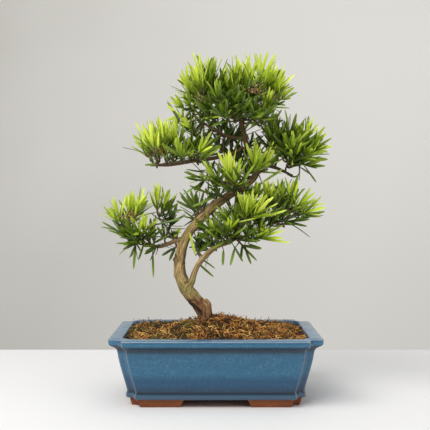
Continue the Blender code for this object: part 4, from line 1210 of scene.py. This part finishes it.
def leaf_shape(bend, twist):
    """One leaf, 1 long and 1 wide: a narrow strap with a fold at the midrib and a short blunt point."""

    def build(bm):
        along = bm.verts.layers.float.new("along")
        rib = bm.verts.layers.float.new("rib")
        rings = []
        for t, share in LEAF_OUTLINE:
            roll = twist * t
            across = Vector((0.0, math.cos(roll), math.sin(roll)))
            up = Vector((0.0, -math.sin(roll), math.cos(roll)))
            middle = Vector((t, 0.0, bend * t * t))
            edge, fold = across * 0.5 * share, up * 0.07
            rings.append([middle + edge + fold, middle - up * 0.03, middle - edge + fold, middle - up * 0.12])
        extrude_through(bm, rings, Vector((1.0, 0.0, bend)))
        for vert in bm.verts:
            vert[along] = clamped(vert.co.x)
            vert[rib] = 1.0 if abs(vert.co.y) < 0.02 + 0.12 * abs(twist) else 0.0

    return shape_from("leaf", loose_bmesh(build), ("along", "rib", "tone"))


def turned_to(root, direction, face, length, width):
    """The place of a leaf from its root along a direction, with its upper side turned to face."""
    across = face.cross(direction)
    turned = Matrix((direction, across, face)).transposed().to_4x4()
    return Matrix.Translation(root) @ turned @ Matrix.Diagonal((length, width, width, 1.0))


def leaf_on_shoot(shoot, rise, number, bend, draw):
    """Place, tip and direction of one leaf. Young shoots hold their leaves close, old ones spread them wide."""
    foot, axis, youth, kind, size = shoot
    low, top = [math.radians(old - less * youth) for old, less in (FOOT_OPENING, TOP_OPENING)]
    opening = low + (top - low) * rise**0.8 + math.radians(draw.uniform(-OPENING_SPREAD, OPENING_SPREAD))
    turn = number * GOLDEN_TURN + draw.uniform(-TURN_SPREAD, TURN_SPREAD)
    side = axis.orthogonal().normalized()
    out = side * math.cos(turn) + axis.cross(side) * math.sin(turn)
    direction = (axis * math.cos(opening) + out * math.sin(opening)).normalized()
    inward = (axis - direction * axis.dot(direction)).normalized()
    roll = math.radians(draw.uniform(-ROLL_SPREAD, ROLL_SPREAD))
    face = (inward * math.cos(roll) + direction.cross(inward) * math.sin(roll)).normalized()
    length = LEAF_LENGTH * draw.uniform(*LENGTH_SPREAD) * (0.86 + 0.14 * math.sin(math.pi * min(1.0, rise + 0.2)))
    length *= size
    width = LEAF_WIDTH * draw.uniform(*WIDTH_SPREAD) * (0.6 + 0.4 * size)
    root = foot + axis * SHOOT_LENGTH * size * (0.06 + 0.90 * rise)
    tip = root + direction * length + face * (bend * width)
    return turned_to(root, direction, face, length, width), tip, direction


def in_solid_box(point):
    low, high = SOLID_BOX
    return all(low[k] + BOX_MARGIN < point[k] < high[k] - BOX_MARGIN for k in range(3))


def hides_wood(root, tip):
    """Whether a leaf would pass in front of wood that shows."""
    middle = (root + tip) / 2
    near = [math.hypot(middle.x - x, middle.z - z) < reach for x, z, reach in BARE_SPOTS]
    return middle.y < BARE_FRONT and any(near)


def leaf_tone(fresh, draw):
    """Whether a leaf is young or old by how fresh it is, and its tone among its kind."""
    kind = "young" if fresh > YOUNG_FROM else "old"
    tone = (fresh - YOUNG_FROM) / 0.5 if kind == "young" else fresh / YOUNG_FROM
    return kind, clamped(tone + draw.gauss(0, 0.20))


def add_leaf_pieces(name, leaves, skins):
    for kind, some in leaves.items():
        if some:
            piece_from(f"{kind}_leaves_{name}", gathered(some), skins[kind], 70)


def make_leaves(name, shapes, skins, shoots):
    draw = random.Random(name + " leaves")
    leaves = {"young": [], "old": []}
    for shoot in shoots:
        _, _, youth, shoot_kind, size = shoot
        youth += draw.gauss(0, 0.05)
        count = round(LEAF_COUNTS[shoot_kind] * (0.4 + 0.6 * size))
        for number in range(count):
            rise = number / (count - 1)
            shape, bend = draw.choice(shapes)
            for _ in range(LEAF_TRIES):
                place, tip, direction = leaf_on_shoot(shoot, rise, number, bend, draw)
                if in_solid_box(tip) and not hides_wood(place.translation, tip):
                    break
            else:
                continue
            if direction.z < DOWNWARD and shoot_kind != "hanging" and draw.random() < DOWNWARD_DROPPED:
                continue
            kind, tone = leaf_tone(youth * (0.53 + 0.75 * rise) + draw.gauss(0, 0.13), draw)
            leaves[kind].append((shape, place, tone))
    add_leaf_pieces(name, leaves, skins)


def make_lone_leaves(shapes, skins):
    draw = random.Random("lone")
    leaves = {"young": [], "old": []}
    for start, end, fresh in LONE_LEAVES:
        root, tip = [Vector(point) for point in metres(start, end)]
        direction = (tip - root).normalized()
        face = Vector((0.0, -1.0, 0.6))
        face = (face - direction * face.dot(direction)).normalized()
        kind, tone = leaf_tone(fresh, draw)
        place = turned_to(root, direction, face, (tip - root).length, LEAF_WIDTH * draw.uniform(*LONE_WIDTH_SPREAD))
        leaves[kind].append((draw.choice(shapes)[0], place, tone))
    add_leaf_pieces("alone", leaves, skins)


def twig_piece(name, paths, skin):
    def build(bm):
        along = bm.verts.layers.float.new("along")
        for path in paths:
            first = len(bm.verts)
            add_tube(bm, smooth_path(path, 2), 6)
            bm.verts.ensure_lookup_table()
            end = Vector(path[-1][:3])
            reach = (Vector(path[0][:3]) - end).length
            for vert in bm.verts[first:]:
                vert[along] = fading((vert.co - end).length, max(0.012, reach))

    return piece_from(name, loose_bmesh(build), skin, 80)


def make_buds():
    """Clusters of brown buds between the leaves."""
    draw = random.Random(5)

    def build(bm):
        for middle in BUDS:
            for _ in range(BUDS_IN_CLUSTER):
                offset = Vector([draw.gauss(0, spread) for spread in BUD_SPREAD])
                size = draw.uniform(*BUD_SIZES)
                turn = Matrix.Rotation(draw.uniform(-0.6, 0.6), 4, "Y")
                place = Matrix.Translation(Vector(middle) + offset) @ turn @ Matrix.Diagonal((1, 1, BUD_STRETCH, 1))
                bmesh.ops.create_icosphere(bm, subdivisions=1, radius=size, matrix=place)

    piece_from("brown_buds", loose_bmesh(build), make_bud_skin(), 180)


def make_foliage():
    skins = {kind: make_leaf_skin(kind) for kind in LEAF_TONES}
    twig_skin = make_twig_skin()
    shapes = [(leaf_shape(bend, twist), bend) for bend, twist in LEAF_BENDS]
    all_wood = []
    for name in SPRAYS:
        tufts = tufts_of(name)
        shoots = tufts + lesser_shoots(name, tufts)
        paths, wood = spray_twigs(name, shoots)
        twigs = twig_piece("twigs_" + name, paths, twig_skin)
        if "foliage_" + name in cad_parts:
            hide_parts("foliage_" + name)
        make_leaves(name, shapes, skins, shoots)
        all_wood += wood
    make_lone_leaves(shapes, skins)
    lone_paths = []
    for end in [Vector(root) for root in (*metres(*(leaf[0] for leaf in LONE_LEAVES)), *BUDS)]:
        start = min(all_wood, key=lambda point: (point - end).length)
        lone_paths.append([(*start.lerp(end, k / 3), TWIG_TIP - 0.0001 * k) for k in range(4)])
    twig_piece("twigs_alone", [*lone_paths, LOOPED_TWIG], twig_skin)
    make_buds()
    for shape, _ in shapes:
        bpy.data.meshes.remove(shape)


# Stage


def stage_piece(name, build, dark, pale):
    """A piece of the surroundings, with painted shade that makes it darker on the left than on the right."""
    piece = object_of(name, mesh_from(name, loose_bmesh(build)))
    material, tree, shader = nodes_of(name, 0.9)
    place = place_of(tree)
    # Painted shade: darker towards the left, and a little towards the top
    shade_slant = node_of(tree, "VectorMath", {0: place, 1: (1.0, 0.0, -0.35)}, operation="DOT_PRODUCT")["Value"]
    plain = ramp_of(tree, range_of(tree, shade_slant, -0.95, 0.45), (0.0, dark), (1.0, pale))
    finish(tree, shader, tinted(tree, plain, pale, noise_of(tree, place, 1.5, 2.0), 0.3, 0.7, 0.3))
    piece.data.materials.append(material)


def make_stage():
    """A pale table, and a pale wall some way behind it."""

    def table(bm):
        add_block(bm, (-2.4, -2.2, -0.03), (2.4, 0.30, 0.0))
        edges = [edge for edge in bm.edges if all(vert.co.z > -0.001 for vert in edge.verts)]
        bmesh.ops.bevel(bm, geom=edges, offset=0.006, segments=3, profile=0.5, material=-1, affect="EDGES")

    def wall(bm):
        add_block(bm, (-3.4, 1.60, -1.4), (3.4, 1.64, 3.2))

    stage_piece("white_table", table, (0.70, 0.70, 0.705), (0.74, 0.74, 0.745))
    stage_piece("pale_wall", wall, (0.605, 0.592, 0.559), (0.95, 0.935, 0.90))


def add_light(name, place, size, power, colour):
    """A soft light that faces the pot."""
    light = bpy.data.lights.new(name, "AREA")
    light.shape = "RECTANGLE"
    light.size, light.size_y = size
    light.energy = power
    light.color = colour
    lamp = object_of(name, light)
    lamp.location = place
    lamp.rotation_euler = (Vector((0.0, 0.0, 0.2)) - Vector(place)).to_track_quat("-Z", "Y").to_euler()


def make_lights():
    add_light("window", (-0.85, -1.00, 1.50), (1.6, 0.9), 37.5, (1.0, 0.985, 0.96))
    add_light("overhead", (0.2, 0.1, 1.7), (1.6, 1.2), 8.0, (1.0, 1.0, 1.0))
    add_light("fill", (1.2, -1.2, 0.8), (1.2, 1.0), 6.0, (0.96, 0.98, 1.0))
    world = bpy.data.worlds.new("studio")
    world.use_nodes = True
    daylight = world.node_tree.nodes["Background"].inputs
    daylight["Color"].default_value = (1.0, 0.99, 0.975, 1.0)
    daylight["Strength"].default_value = 0.32
    bpy.context.scene.world = world


def make_camera():
    """A level camera, a little above the rim, as the photograph's. Lens and shifts are from its width in pixels."""
    camera = bpy.data.cameras.new("camera")
    camera.sensor_width = SENSOR_WIDTH
    camera.lens = SENSOR_WIDTH * FOCAL_PIXELS / PHOTO_PIXELS
    camera.shift_x = -MIDDLE_RIGHT_PIXELS / PHOTO_PIXELS
    camera.shift_y = -MIDDLE_DOWN_PIXELS / PHOTO_PIXELS
    camera.clip_start = 0.05
    view = object_of("camera", camera)
    view.location = CAMERA_PLACE
    view.rotation_euler = (math.radians(90), 0.0, 0.0)
    bpy.context.scene.camera = view


def refinish(node, material):
    """Gives a carried-over solid its finish."""
    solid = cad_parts[node]
    solid.data.materials.clear()
    solid.data.materials.append(material)


make_camera()
# Colours as a plain photograph shows them, with no film curve
bpy.context.scene.view_settings.view_transform = "Standard"
make_lights()
make_stage()
make_pot()
refinish("soil", make_soil())
screen_plastic = make_screen_plastic()
refinish("drain_screen_left", screen_plastic)
refinish("drain_screen_right", screen_plastic)
make_moss_surface()
make_moss_strands()
make_wood()
make_foliage()
